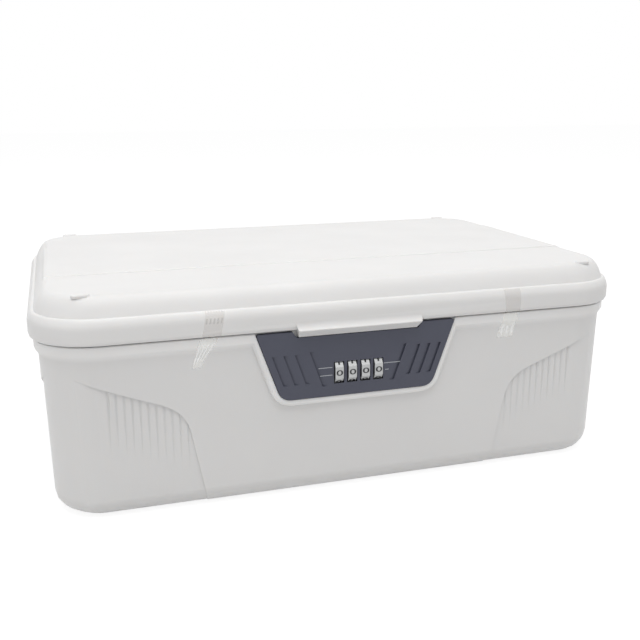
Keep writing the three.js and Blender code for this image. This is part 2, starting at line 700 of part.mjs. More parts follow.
function shoulderSections() {
  const curve = new THREE.QuadraticBezierCurve(
    new THREE.Vector2(0, SHOULDER_Z), new THREE.Vector2(0, LEDGE_Z - SHOULDER_IN),
    new THREE.Vector2(SHOULDER_IN, LEDGE_Z));
  return curve.getPoints(SHOULDER_STEPS).map(({ x, y }) => [x, y, CORNER - x]);
}

function lidOutside(rise) {
  const foot = [
    [SKIRT_TUCK, SKIRT_BOTTOM, CORNER - SKIRT_TUCK],
    [SKIRT_TUCK / 3, SKIRT_BOTTOM + SKIRT_ROLL / 3, CORNER - SKIRT_TUCK / 3],
    [0, SKIRT_BOTTOM + SKIRT_ROLL, CORNER],
  ];
  return [...foot, ...shoulderSections(), ...domeSections(0, rise)];
}

function lidShell() {
  const hollow = [
    [LID_WALL, SKIRT_BOTTOM - BITE, CORNER - LID_WALL],
    [LID_WALL, SHOULDER_Z, CORNER - LID_WALL],
    [LID_WALL + SHOULDER_IN, LEDGE_Z - LID_WALL / 2, CORNER - LID_WALL - SHOULDER_IN],
    ...domeSections(LID_WALL, 0).slice(1),
  ];
  const reach = BAND_DEPTH / 2;
  const slab = polygon([
    [-reach - BAND_SLOPE, LID_TOP - BITE], [reach + BAND_SLOPE, LID_TOP - BITE],
    [reach, LID_TOP + BAND_RISE + TINY], [-reach, LID_TOP + BAND_RISE + TINY],
  ]);
  const band = loft(lidOutside(BAND_RISE)).intersect(alongX(slab, -HALF_W, HALF_W));
  return loft(lidOutside(0)).add(band).subtract(loft(hollow));
}

function lidTab() {
  const front = -(HALF_D + TAB_PROUD);
  const low = SEAM_Z - TAB_DROP;
  const root = -HALF_D + LID_WALL / 2;
  const side = polygon([
    [root, TAB_TOP_Z], [-HALF_D, TAB_TOP_Z], [front, TAB_CREST_Z + TAB_CREST_HALF],
    [front, TAB_CREST_Z - TAB_CREST_HALF], [PLATE_FRONT, low], [PLATE_BACK, low], [PLATE_BACK, SKIRT_BOTTOM],
    [root, SKIRT_BOTTOM + BITE],
  ]);
  const face = polygon([
    [-TAB_BOTTOM_HALF, low - BITE], [TAB_BOTTOM_HALF, low - BITE],
    [TAB_TOP_HALF, TAB_TOP_Z + BITE], [-TAB_TOP_HALF, TAB_TOP_Z + BITE],
  ]);
  return alongX(side, -TAB_TOP_HALF, TAB_TOP_HALF).intersect(alongY(face, front - BITE, -HALF_D / 2));
}

function stadium(length, width) {
  const shape = new THREE.Shape();
  const straight = (length - width) / 2;
  shape.moveTo(-straight, -width / 2);
  shape.lineTo(straight, -width / 2);
  shape.absarc(straight, 0, width / 2, -Math.PI / 2, Math.PI / 2, false);
  shape.lineTo(-straight, width / 2);
  shape.absarc(-straight, 0, width / 2, Math.PI / 2, 1.5 * Math.PI, false);
  return shape;
}

function stackingPips() {
  const pips = [];
  const settings = { depth: BITE, bevelThickness: PIP_RISE, bevelSize: PIP_EDGE, bevelOffset: -PIP_EDGE };
  Object.assign(settings, { bevelSegments: BEVEL_STEPS, curveSegments: PIP_STEPS });
  for (const x of [-1, 1]) {
    for (const y of [-1, 1]) {
      const pip = new THREE.ExtrudeGeometry(stadium(PIP_LENGTH, PIP_WIDTH), settings);
      pips.push(toSolid(pip.translate(x * (HALF_W - PIP_IN_X), y * (HALF_D - PIP_IN_Y), LID_TOP - BITE)));
    }
  }
  return join(pips);
}

function lidRibs() {
  const ribs = [];
  const low = LID_UNDERSIDE - RIB_DROP;
  const endX = HALF_W - SHOULDER_IN - DOME_IN;
  const endY = HALF_D - SHOULDER_IN - DOME_IN;
  const top = LID_UNDERSIDE + BITE;
  for (let index = 0; index < RIB_COUNT; index += 1) {
    const x = (index - (RIB_COUNT - 1) / 2) * RIB_SPACING;
    ribs.push(block([x - RIB_THICK / 2, x + RIB_THICK / 2], [-endY, endY], [low, top]));
  }
  for (const y of [-RIB_SPACING / 2, RIB_SPACING / 2]) {
    ribs.push(block([-endX, endX], [y - RIB_THICK / 2, y + RIB_THICK / 2], [low, top]));
  }
  return join(ribs);
}

// Striker: a steel comb on the lid, whose fingers hook under the code cams

function fingerX(index) {
  return wheelX(index) + WHEEL_PITCH / 2;
}

const STRIKER_LOW_X = fingerX(0) - FINGER_WIDTH / 2 - STRIKER_MARGIN;
const STRIKER_HIGH_X = fingerX(WHEEL_COUNT - 1) + FINGER_WIDTH / 2 + STRIKER_MARGIN;
const STRIKER_X = (STRIKER_LOW_X + STRIKER_HIGH_X) / 2;

function forStrikerScrews(make) {
  return [-1, 1].map((side) => make(STRIKER_X + side * STRIKER_SCREW_SPREAD / 2, STRIKER_SCREW_Z));
}

function strikerBoss() {
  const sides = [STRIKER_LOW_X - BOSS_MARGIN, STRIKER_HIGH_X + BOSS_MARGIN];
  const front = STRIKER_Y + STRIKER_THICK + GAP;
  const solid = block(sides, [front, front + BOSS_DEPTH], [BOSS_BOTTOM_Z, LID_UNDERSIDE + BITE]);
  const holes = forStrikerScrews((x, z) =>
    rodY(SCREW_RADIUS + RUN, front - BITE, front + SHORT_SCREW_LENGTH, x, z));
  return solid.subtract(join(holes));
}

function lidStriker() {
  const fingerTop = WHEEL_Z - FINGER_BELOW;
  const low = fingerTop - STRIKER_THICK;
  const across = [STRIKER_LOW_X, STRIKER_HIGH_X];
  const fingers = [];
  for (let index = 0; index < WHEEL_COUNT; index += 1) {
    const x = fingerX(index);
    const sides = [x - FINGER_WIDTH / 2, x + FINGER_WIDTH / 2];
    fingers.push(block(sides, [WHEEL_Y + FINGER_REACH, STRIKER_Y + TINY], [low, fingerTop]));
  }
  const plate = block(across, [STRIKER_Y, STRIKER_Y + STRIKER_THICK], [low, STRIKER_TOP_Z]);
  const through = STRIKER_Y + STRIKER_THICK + BITE;
  const holes = forStrikerScrews((x, z) => rodY(SCREW_RADIUS + RUN, STRIKER_Y - BITE, through, x, z));
  return join([plate, ...fingers]).subtract(join(holes));
}

// Pan-head screw along Y: the head's seat is at seatY and the shank points to -Y or +Y
function screw(x, seatY, z, length, direction) {
  const profile = [
    [0, -length], [SCREW_RADIUS - SCREW_CHAMFER, -length], [SCREW_RADIUS, SCREW_CHAMFER - length],
    [SCREW_RADIUS, 0], [SCREW_HEAD_RADIUS, 0], [SCREW_HEAD_RADIUS, SCREW_HEAD_HEIGHT - SCREW_CHAMFER],
    [SCREW_HEAD_RADIUS - SCREW_CHAMFER, SCREW_HEAD_HEIGHT], [0, SCREW_HEAD_HEIGHT],
  ];
  const points = profile.map(([radius, along]) => new THREE.Vector2(radius, along));
  const geometry = new THREE.LatheGeometry(points, SCREW_STEPS);
  if (direction > 0) geometry.rotateX(Math.PI);
  return toSolid(geometry.translate(x, seatY, z));
}

// Number wheels and code cams, drawn about the wheels' axis

function star(radius, depth) {
  const shape = [];
  const lobeEdge = [[-SPLINE_ROOT, 0], [-SPLINE_CREST, depth], [SPLINE_CREST, depth], [SPLINE_ROOT, 0]];
  for (let lobe = 0; lobe < WHEEL_SIDES; lobe += 1) {
    const centre = lobe * 2 * Math.PI / WHEEL_SIDES;
    for (const [turn, out] of lobeEdge) {
      const angle = centre + turn * 2 * Math.PI / WHEEL_SIDES;
      shape.push([(radius + out) * Math.cos(angle), (radius + out) * Math.sin(angle)]);
    }
  }
  return polygon(shape);
}

function numberRing(index) {
  const x = wheelX(index);
  const right = x + WHEEL_WIDTH / 2;
  const profile = [];
  for (let side = 0; side < WHEEL_SIDES; side += 1) {
    const angle = (side + 0.5) * 2 * Math.PI / WHEEL_SIDES;
    profile.push([WHEEL_CORNER * Math.cos(angle), WHEEL_CORNER * Math.sin(angle)]);
  }
  const ring = alongX(polygon(profile), x - WHEEL_WIDTH / 2, right);
  const bore = alongX(star(SLEEVE_RADIUS + RUN, 0), x - WHEEL_WIDTH, x + WHEEL_WIDTH);
  const splines = alongX(star(SLEEVE_RADIUS + RUN, SPLINE_DEPTH), right - SPLINE_LENGTH - RUN, right + BITE);
  return ring.subtract(bore).subtract(splines);
}

function codeCam(index) {
  const x = wheelX(index);
  const ringRight = x + WHEEL_WIDTH / 2;
  const discLeft = ringRight + RUN;
  const discRight = discLeft + CAM_THICK;
  const disc = new THREE.Shape();
  const half = Math.acos(CAM_FLAT / CAM_RADIUS);
  disc.absarc(0, 0, CAM_RADIUS, half, 2 * Math.PI - half, false);
  const sleeve = alongX(star(SLEEVE_RADIUS, 0), x + CAM_LEFT, discRight - TINY);
  const splines = alongX(star(SLEEVE_RADIUS, SPLINE_DEPTH - RUN), ringRight - SPLINE_LENGTH, discRight - TINY);
  const cam = join([sleeve, splines, alongX(disc, discLeft, discRight)]);
  return cam.subtract(rodX(SPINDLE_RADIUS + RUN, -HALF_W, HALF_W, 0, 0, ROD_STEPS));
}

// Lock housing, cover and springs

function lockHousing() {
  const rear = COVER_Y - GAP;
  const low = WHEEL_Z - HOUSING_BELOW;
  const high = WHEEL_Z + HOUSING_ABOVE;
  const inner = HOUSING_HALF - HOUSING_WALL;
  const outer = block([-HOUSING_HALF, HOUSING_HALF], [HOUSING_FRONT, rear], [low, high]);
  const hollow = block(
    [-inner, inner], [WHEEL_Y - CHEEK - BITE, rear + BITE], [low + HOUSING_WALL, high - HOUSING_WALL]);
  const slot = block(
    [STRIKER_LOW_X - SLOT_SIDE, STRIKER_HIGH_X + SLOT_SIDE],
    [WHEEL_Y + FINGER_REACH - SLOT_AHEAD, rear + BITE], [WHEEL_Z, high + BITE]);
  const earEnd = HOUSING_HALF + EAR_WIDTH;
  const ears = block([-earEnd, earEnd], [HOUSING_FRONT, HOUSING_FRONT + EAR_THICK], [low, high]);
  const cheek = [WHEEL_Z - CHEEK, WHEEL_Z + CHEEK];
  const cheeks = block([-HOUSING_HALF, HOUSING_HALF], [WHEEL_Y - CHEEK, HOUSING_FRONT + TINY], cheek);
  const posts = [-1, 1].map((side) => rodY(COVER_POST_RADIUS, HOUSING_FRONT, rear, side * COVER_POST_X, WHEEL_Z));
  const pilots = [-1, 1].map((side) =>
    rodY(SCREW_RADIUS + RUN, rear - SHORT_SCREW_LENGTH, rear + BITE, side * COVER_POST_X, WHEEL_Z));
  const holes = forPosts((x, z) => rodY(SCREW_RADIUS + RUN, HOUSING_FRONT - BITE, rear, x, z));
  const bearing = rodX(SPINDLE_RADIUS + RUN, -HALF_W, HALF_W, WHEEL_Y, WHEEL_Z, ROD_STEPS);
  return join([outer, ears, cheeks, ...posts]).subtract(join([hollow, slot, bearing, ...pilots, ...holes]));
}

function lockCover() {
  const low = WHEEL_Z - HOUSING_BELOW;
  const high = WHEEL_Z + HOUSING_ABOVE;
  const depth = [COVER_Y, COVER_Y + COVER_THICK];
  const panel = block([-HOUSING_HALF, HOUSING_HALF], depth, [low, high]);
  const earReach = COVER_POST_X + COVER_POST_RADIUS;
  const ears = block([-earReach, earReach], depth, [WHEEL_Z - COVER_POST_RADIUS, WHEEL_Z + COVER_POST_RADIUS]);
  const holes = [-1, 1].map((side) =>
    rodY(SCREW_RADIUS + RUN, COVER_Y - BITE, COVER_Y + COVER_THICK + BITE, side * COVER_POST_X, WHEEL_Z));
  const right = STACK_LEFT - GAP;
  const slot = block(
    [right - SLIDER_THICK - RUN, right + RESET_TRAVEL + RUN], [COVER_Y - BITE, COVER_Y + COVER_THICK + BITE],
    [WHEEL_Z - SLIDER_ARM / 2 - RUN, WHEEL_Z + SLIDER_ARM / 2 + RUN]);
  return panel.add(ears).subtract(join([slot, ...holes]));
}

function lockSpindle() {
  return rodX(SPINDLE_RADIUS, -HOUSING_HALF, HOUSING_HALF, WHEEL_Y, WHEEL_Z, ROD_STEPS);
}

function resetSlider() {
  const right = STACK_LEFT - GAP;
  const left = right - SLIDER_THICK;
  const collar = rodX(SLEEVE_RADIUS, left, right, WHEEL_Y, WHEEL_Z, ROD_STEPS);
  const outside = COVER_Y + COVER_THICK + RUN;
  const half = SLIDER_ARM / 2;
  const arm = block([left, right], [WHEEL_Y, outside + TINY], [WHEEL_Z - half, WHEEL_Z + half]);
  const middle = (left + right) / 2;
  const nub = block(
    [middle - SLIDER_NUB_WIDTH / 2, middle + SLIDER_NUB_WIDTH / 2], [outside, outside + SLIDER_NUB_DEPTH],
    [WHEEL_Z - SLIDER_NUB_HEIGHT / 2, WHEEL_Z + SLIDER_NUB_HEIGHT / 2]);
  const bore = rodX(SPINDLE_RADIUS + RUN, left - BITE, right + BITE, WHEEL_Y, WHEEL_Z, ROD_STEPS);
  return join([collar, arm, nub]).subtract(bore);
}

class Helix extends THREE.Curve {
  constructor(radius, start, end, turns) {
    super();
    Object.assign(this, { radius, start, end, turns });
  }

  getPoint(t) {
    const angle = t * this.turns * 2 * Math.PI;
    const x = this.start + (this.end - this.start) * t;
    return new THREE.Vector3(x, this.radius * Math.cos(angle), this.radius * Math.sin(angle));
  }
}

function resetSpring() {
  const start = STACK_HALF + GAP + SPRING_WIRE / 2;
  const end = HOUSING_HALF - HOUSING_WALL - GAP - SPRING_WIRE / 2;
  const path = new Helix(SPRING_RADIUS, start, end, SPRING_TURNS);
  const section = new THREE.Shape();
  section.absarc(0, 0, SPRING_WIRE / 2, 0, 2 * Math.PI, false);
  const settings = { steps: COIL_STEPS * SPRING_TURNS, extrudePath: path, curveSegments: WIRE_STEPS };
  return toSolid(new THREE.ExtrudeGeometry(section, settings));
}

// One leaf under each wheel, on a shared strip along the housing's floor
function detentSpring() {
  const floor = WHEEL_Z - HOUSING_BELOW + HOUSING_WALL + GAP;
  const crest = WHEEL_Z - WHEEL_CORNER - RUN;
  const back = WHEEL_Y + STRIKER_BEHIND;
  const bend = WHEEL_Y + DETENT_BEND;
  const toe = floor + DETENT_TOE;
  const strip = [[back, floor], [bend, floor], [bend, floor + DETENT_THICK], [back, floor + DETENT_THICK]];
  const leaf = [
    [bend + BITE, floor], [bend, floor], [WHEEL_Y, crest - DETENT_THICK], [HOUSING_FRONT, toe],
    [HOUSING_FRONT, toe + DETENT_THICK], [WHEEL_Y, crest], [bend, floor + DETENT_THICK],
    [bend + BITE, floor + DETENT_THICK],
  ];
  const half = wheelX(WHEEL_COUNT - 1) + WHEEL_WIDTH / 2;
  const solids = [alongX(polygon(strip.reverse()), -half, half)];
  for (let index = 0; index < WHEEL_COUNT; index += 1) {
    const x = wheelX(index);
    solids.push(alongX(polygon(leaf), x - DETENT_WIDTH / 2, x + DETENT_WIDTH / 2));
  }
  return join(solids);
}

// Assembly

place("case_tub", caseTub(), WHITE_PLASTIC);
const lid = join([lidShell(), stackingPips(), lidTab(), lidRibs(), strikerBoss(), lidHinge(-1), lidHinge(1)]);
place("lid_shell", lid.subtract(join([hingeBore(-1), hingeBore(1)])), WHITE_PLASTIC);
place("hinge_pin_left", hingePin(-1), STEEL);
place("hinge_pin_right", hingePin(1), STEEL);
place("lock_plate", lockPlate(), SLATE_PLASTIC);
place("lock_housing", lockHousing(), GREY_PLASTIC);
place("lock_cover", lockCover(), GREY_PLASTIC);
place("lock_spindle", lockSpindle(), STEEL);

for (let index = 0; index < WHEEL_COUNT; index += 1) {
  place(`number_wheel_${index + 1}`, numberRing(index), WHEEL_METAL, WHEEL_AXIS);
  place(`code_cam_${index + 1}`, codeCam(index), STEEL, WHEEL_AXIS);
}

place("detent_spring", detentSpring(), STEEL);
place("reset_slider", resetSlider(), GREY_PLASTIC);
place("reset_spring", resetSpring(), STEEL, WHEEL_AXIS);
place("lid_striker", lidStriker(), STEEL);
forStrikerScrews((x, z) => screw(x, STRIKER_Y - GAP, z, SHORT_SCREW_LENGTH + STRIKER_THICK, 1))
  .forEach((solid, index) => place(`striker_screw_${index + 1}`, solid, STEEL));
forPosts((x, z) => screw(x, HOUSING_FRONT + EAR_THICK + GAP, z, PLATE_SCREW_LENGTH, -1))
  .forEach((solid, index) => place(`plate_screw_${index + 1}`, solid, STEEL));
[-1, 1].map((side) => screw(side * COVER_POST_X, COVER_Y + COVER_THICK + GAP, WHEEL_Z, SHORT_SCREW_LENGTH, -1))
  .forEach((solid, index) => place(`cover_screw_${index + 1}`, solid, STEEL));

export default box;
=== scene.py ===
import logging
import math
from dataclasses import dataclass, field
from enum import Enum

import bmesh
import bpy
import numpy as np
from mathutils import Matrix, Vector


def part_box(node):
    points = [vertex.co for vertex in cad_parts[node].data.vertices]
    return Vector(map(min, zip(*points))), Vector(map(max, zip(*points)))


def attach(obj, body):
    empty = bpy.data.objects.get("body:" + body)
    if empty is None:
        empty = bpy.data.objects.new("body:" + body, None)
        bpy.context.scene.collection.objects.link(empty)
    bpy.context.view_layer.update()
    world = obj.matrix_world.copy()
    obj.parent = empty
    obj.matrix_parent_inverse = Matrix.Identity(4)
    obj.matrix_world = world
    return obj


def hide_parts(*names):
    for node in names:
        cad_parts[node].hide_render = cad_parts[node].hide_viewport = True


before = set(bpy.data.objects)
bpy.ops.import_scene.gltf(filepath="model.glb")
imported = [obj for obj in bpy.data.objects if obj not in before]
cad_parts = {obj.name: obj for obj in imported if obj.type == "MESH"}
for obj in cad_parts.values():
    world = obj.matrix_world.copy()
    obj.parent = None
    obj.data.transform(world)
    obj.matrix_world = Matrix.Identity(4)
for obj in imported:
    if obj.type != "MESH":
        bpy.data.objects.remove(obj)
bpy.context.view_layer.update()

LOG = logging.getLogger("medication_lock_box")

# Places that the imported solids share, in millimetres in the row frame

MM = 0.001
CENTRE_Y = -1.3  # middle of the lid's outline
HALF_WIDTH = 180.0
HALF_DEPTH = 120.0
CORNER = 36.0  # plan radius of the lid's corners
FLANGE_IN = 2.4  # rim flange and the frame round the plate, in from the lid's outline
LEDGE_Z = 116.4
LEDGE_IN = 2.7
PLATE_FRONT_Y = -119.8
WHEEL_Y = -110.95
WHEEL_Z = 74.6
WHEEL_FLAT = 10.15
WHEEL_PITCH = 8.0
WHEEL_COUNT = 4
DIGITS = 10

# Names of the numbers that the meshes carry for their materials

THICKNESS_AND_PAINTED_LIGHT = "thickness"  # one on the case's flange and frame, zero on its wall: partly how thick the moulding is, partly painted light, lighter where the flange catches light and darker in the shade below it
CRIMP = "crimp"  # one along the crest of a crimp in the film

# Mesh work

SAME_POINT = 1e-6  # metres; the solids' points that lie closer are merged
SAME_NEW_POINT = 1e-7  # the same for new pieces
FLAT = 0.2  # degrees; faces that meet at less are one
EDGE_SEGMENTS = 2
LARGE_FACES_LEAD = 60  # 50 is neutral; above it, large faces set more of the normals

# Materials

BROAD_DETAIL = 3.0  # levels of detail in noise that drifts slowly
FINE_DETAIL = 2.0  # the same in a fine grain

WHITE = (1.0, 1.0, 1.0, 1.0)


class Body(Enum):
    """The moving bodies that new pieces ride on."""

    CASE = "case"
    LID = "lid"


class Slot(Enum):
    """The record's material slots."""

    WHITE = "white_plastic"
    SLATE = "slate_plastic"
    WHEEL = "wheel_metal"
    STEEL = "steel"


# Node and colour helpers


def linear(hex_colour: str) -> tuple[float, float, float, float]:
    """Turns an sRGB hex colour into linear light.

    The sRGB curve is a straight line near black and a power of 2.4 above it.

    Args:
        hex_colour: Six hex digits with a leading hash.

    Returns:
        Red, green, blue and an alpha of one.
    """
    parts = [int(hex_colour[start:start + 2], 16) / 255 for start in (1, 3, 5)]
    light = [part / 12.92 if part <= 0.04045 else ((part + 0.055) / 1.055) ** 2.4 for part in parts]
    return (*light, 1.0)


def add_node(tree: bpy.types.NodeTree, kind: str, inputs: dict | None = None, **settings) -> bpy.types.Node:
    """Adds a node with its settings, its constants and its links.

    Args:
        tree: The tree that gets the node.
        kind: The node's type.
        inputs: Input names or numbers, each with a constant or with the socket that feeds it.
        **settings: Attributes of the node.

    Returns:
        The new node.
    """
    made = tree.nodes.new(kind)
    for name, value in settings.items():
        setattr(made, name, value)
    for name, value in (inputs or {}).items():
        socket = made.inputs[name]
        if isinstance(value, bpy.types.NodeSocket):
            tree.links.new(value, socket)
        else:
            socket.default_value = value
    return made


def per_metre(size_mm: float) -> float:
    """Returns the texture scale at which one feature is size_mm across on Object coordinates."""
    return 1 / (size_mm * MM)


@dataclass(frozen=True)
class Finish:
    """What all the finishes share: a name, a colour and how rough the surface is."""

    name: str
    colour: str
    roughness: float

    def tree(self) -> tuple[bpy.types.Material, bpy.types.NodeTree]:
        """Makes a new material.

        Returns:
            The material and its empty node tree.
        """
        material = bpy.data.materials.new(self.name)
        material.use_nodes = True
        material.node_tree.nodes.clear()
        material.diffuse_color = linear(self.colour)
        return material, material.node_tree

    def close(self, tree: bpy.types.NodeTree, shader: bpy.types.Node) -> None:
        """Links a shader to the material's output."""
        add_node(tree, "ShaderNodeOutputMaterial", {"Surface": shader.outputs[0]})


@dataclass(frozen=True)
class MouldedPlastic(Finish):
    """Plastic from a mould whose steel was spark eroded, which leaves a fine satin grain.

    Attributes:
        grain_mm: Size of the grain, several times coarser than the real one, so that it shows.
        grain_depth_mm: Its depth.
        grain_rough: How much the grain's finer levels count.
        cloud_mm: Size of the slow clouding.
        cloud_rough: How much the clouding's finer levels count.
        cloud_span: The noise values at which a cloud starts and is full.
        cloud_shade: Tone of the clouds.
        cloud_share: How much of that tone a full cloud takes on.
        sheen_change: How much smoother the ground and rougher the clouds are than the mean.
        thin_wall_and_painted_shade: Tone of the case's wall below the flange: painted shade that stands for the
            shade under the flange, and also the thin wall's dark inside showing through a little.
        creep: Share of the light that creeps through the plastic.
        creep_mm: How far it creeps.
        creep_reach: The same for red, green and blue, as shares.
        index: Index of refraction.
    """

    grain_mm: float = 0.9
    grain_depth_mm: float = 0.01
    grain_rough: float = 0.6
    cloud_mm: float = 45.0
    cloud_rough: float = 0.45
    cloud_span: tuple[float, float] = (0.3, 0.7)
    cloud_shade: str = "#000000"
    cloud_share: float = 0.03
    sheen_change: float = 0.05
    thin_wall_and_painted_shade: str = ""
    creep: float = 0.0
    creep_mm: float = 1.5
    creep_reach: tuple[float, float, float] = (1.0, 0.9, 0.8)
    index: float = 1.5

    def build(self) -> bpy.types.Material:
        """Builds the material: slow clouding of colour and gloss, and a fine grain as bump.

        Returns:
            The finished material.
        """
        material, tree = self.tree()
        place = add_node(tree, "ShaderNodeTexCoord").outputs["Object"]
        clouds = add_node(tree, "ShaderNodeTexNoise", {
            "Vector": place, "Scale": per_metre(self.cloud_mm), "Detail": BROAD_DETAIL,
            "Roughness": self.cloud_rough}).outputs["Fac"]
        start, full = self.cloud_span
        share = add_node(tree, "ShaderNodeMapRange", {
            "Value": clouds, "From Min": start, "From Max": full, "To Max": self.cloud_share}).outputs["Result"]
        ground = linear(self.colour)
        # Painted light: where the attribute is one, on the case's flange and frame, the ground tone is lighter,
        # a painted highlight; where it is zero, on the wall below, it is darker, painted shade under the flange
        # together with the thin wall's dark inside showing through
        if self.thin_wall_and_painted_shade:
            thick = add_node(tree, "ShaderNodeAttribute", attribute_name=THICKNESS_AND_PAINTED_LIGHT).outputs["Fac"]
            ground = add_node(tree, "ShaderNodeMix", {
                "Factor": thick, "A": linear(self.thin_wall_and_painted_shade), "B": ground}, data_type="RGBA").outputs["Result"]
        colour = add_node(tree, "ShaderNodeMix", {
            "Factor": share, "A": ground, "B": linear(self.cloud_shade)}, data_type="RGBA")
        gloss = add_node(tree, "ShaderNodeMapRange", {
            "Value": clouds, "From Min": start, "From Max": full,
            "To Min": self.roughness - self.sheen_change, "To Max": self.roughness + self.sheen_change})
        grain = add_node(tree, "ShaderNodeTexNoise", {
            "Vector": place, "Scale": per_metre(self.grain_mm), "Detail": FINE_DETAIL,
            "Roughness": self.grain_rough})
        bump = add_node(tree, "ShaderNodeBump", {
            "Height": grain.outputs["Fac"], "Distance": self.grain_depth_mm * MM, "Strength": 1.0})
        shader = add_node(tree, "ShaderNodeBsdfPrincipled", {
            "Base Color": colour.outputs["Result"], "Roughness": gloss.outputs["Result"],
            "Subsurface Weight": self.creep, "Subsurface Radius": self.creep_reach,
            "Subsurface Scale": self.creep_mm * MM, "IOR": self.index, "Normal": bump.outputs["Normal"]})
        self.close(tree, shader)
        return material


@dataclass(frozen=True)
class PlatedMetal(Finish):
    """Metal with a satin plating: fine pits, and a tone that drifts a little across the piece.

    Attributes:
        pit_mm: Size of the pits, several times coarser than the real ones, so that they show.
        pit_depth_mm: Their depth.
        drift_mm: Size of the drift in tone.
        drift_span: The noise values at which the other tone starts and is full.
        drift_shade: The other tone.
        drift_share: How much of it the metal takes on.
    """

    pit_mm: float = 0.5
    pit_depth_mm: float = 0.006
    drift_mm: float = 6.0
    drift_span: tuple[float, float] = (0.35, 0.75)
    drift_shade: str = "#808488"
    drift_share: float = 0.25

    def build(self) -> bpy.types.Material:
        """Builds the material: a drifting tone and fine pits as bump.

        Returns:
            The finished material.
        """
        material, tree = self.tree()
        place = add_node(tree, "ShaderNodeTexCoord").outputs["Object"]
        drift = add_node(tree, "ShaderNodeTexNoise", {
            "Vector": place, "Scale": per_metre(self.drift_mm), "Detail": BROAD_DETAIL})
        start, full = self.drift_span
        share = add_node(tree, "ShaderNodeMapRange", {
            "Value": drift.outputs["Fac"], "From Min": start, "From Max": full, "To Max": self.drift_share})
        colour = add_node(tree, "ShaderNodeMix", {
            "Factor": share.outputs["Result"], "A": linear(self.colour), "B": linear(self.drift_shade)},
            data_type="RGBA")
        pits = add_node(tree, "ShaderNodeTexNoise", {
            "Vector": place, "Scale": per_metre(self.pit_mm), "Detail": FINE_DETAIL})
        bump = add_node(tree, "ShaderNodeBump", {
            "Height": pits.outputs["Fac"], "Distance": self.pit_depth_mm * MM, "Strength": 1.0})
        shader = add_node(tree, "ShaderNodeBsdfPrincipled", {
            "Base Color": colour.outputs["Result"], "Metallic": 1.0, "Roughness": self.roughness,
            "Normal": bump.outputs["Normal"]})
        self.close(tree, shader)
        return material


@dataclass(frozen=True)
class ClearFilm(Finish):
    """Clear packing film: thin, glossy, a little milky, with faint stretch wrinkles and whitened crimps.

    Attributes:
        milkiness: How much the flat film hides.
        crimp_shade: Tone of a crimp.
        crimp_milkiness: How much a crimp hides.
        wrinkle_mm: Size of the stretch wrinkles.
        wrinkle_depth_mm: Their depth.
        index: Index of refraction.
    """

    milkiness: float
    crimp_shade: str
    crimp_milkiness: float
    wrinkle_mm: float = 5.0
    wrinkle_depth_mm: float = 0.01
    index: float = 1.47

    def build(self) -> bpy.types.Material:
        """Builds the material: a mostly see-through gloss, denser on the crimps, with wrinkles as bump.

        Returns:
            The finished material.
        """
        material, tree = self.tree()
        place = add_node(tree, "ShaderNodeTexCoord").outputs["Object"]
        crimp = add_node(tree, "ShaderNodeAttribute", attribute_name=CRIMP).outputs["Fac"]
        colour = add_node(tree, "ShaderNodeMix", {
            "Factor": crimp, "A": linear(self.colour), "B": linear(self.crimp_shade)}, data_type="RGBA")
        density = add_node(tree, "ShaderNodeMapRange", {
            "Value": crimp, "To Min": self.milkiness, "To Max": self.crimp_milkiness})
        wrinkles = add_node(tree, "ShaderNodeTexNoise", {
            "Vector": place, "Scale": per_metre(self.wrinkle_mm), "Detail": FINE_DETAIL})
        bump = add_node(tree, "ShaderNodeBump", {
            "Height": wrinkles.outputs["Fac"], "Distance": self.wrinkle_depth_mm * MM, "Strength": 1.0})
        shader = add_node(tree, "ShaderNodeBsdfPrincipled", {
            "Base Color": colour.outputs["Result"], "Roughness": self.roughness, "IOR": self.index,
            "Alpha": density.outputs["Result"], "Normal": bump.outputs["Normal"]})
        self.close(tree, shader)
        return material


@dataclass(frozen=True)
class PrintedInk(Finish):
    """Ink or paint on a surface: flat, with a slightly uneven tone.

    Attributes:
        uneven_mm: Size of the unevenness.
        uneven_span: The noise values at which the other tone starts and is full.
        uneven_shade: The other tone.
        uneven_share: How much of it the ink takes on.
        index: Index of refraction.
    """

    uneven_mm: float = 0.8
    uneven_span: tuple[float, float] = (0.45, 0.8)
    uneven_shade: str = "#404044"
    uneven_share: float = 0.5
    index: float = 1.5

    def build(self) -> bpy.types.Material:
        """Builds the material: a flat coat with a fine unevenness of tone.

        Returns:
            The finished material.
        """
        material, tree = self.tree()
        place = add_node(tree, "ShaderNodeTexCoord").outputs["Object"]
        uneven = add_node(tree, "ShaderNodeTexNoise", {
            "Vector": place, "Scale": per_metre(self.uneven_mm), "Detail": FINE_DETAIL})
        start, full = self.uneven_span
        share = add_node(tree, "ShaderNodeMapRange", {
            "Value": uneven.outputs["Fac"], "From Min": start, "From Max": full, "To Max": self.uneven_share})
        colour = add_node(tree, "ShaderNodeMix", {
            "Factor": share.outputs["Result"], "A": linear(self.colour), "B": linear(self.uneven_shade)},
            data_type="RGBA")
        shader = add_node(tree, "ShaderNodeBsdfPrincipled", {
            "Base Color": colour.outputs["Result"], "Roughness": self.roughness, "IOR": self.index})
        self.close(tree, shader)
        return material


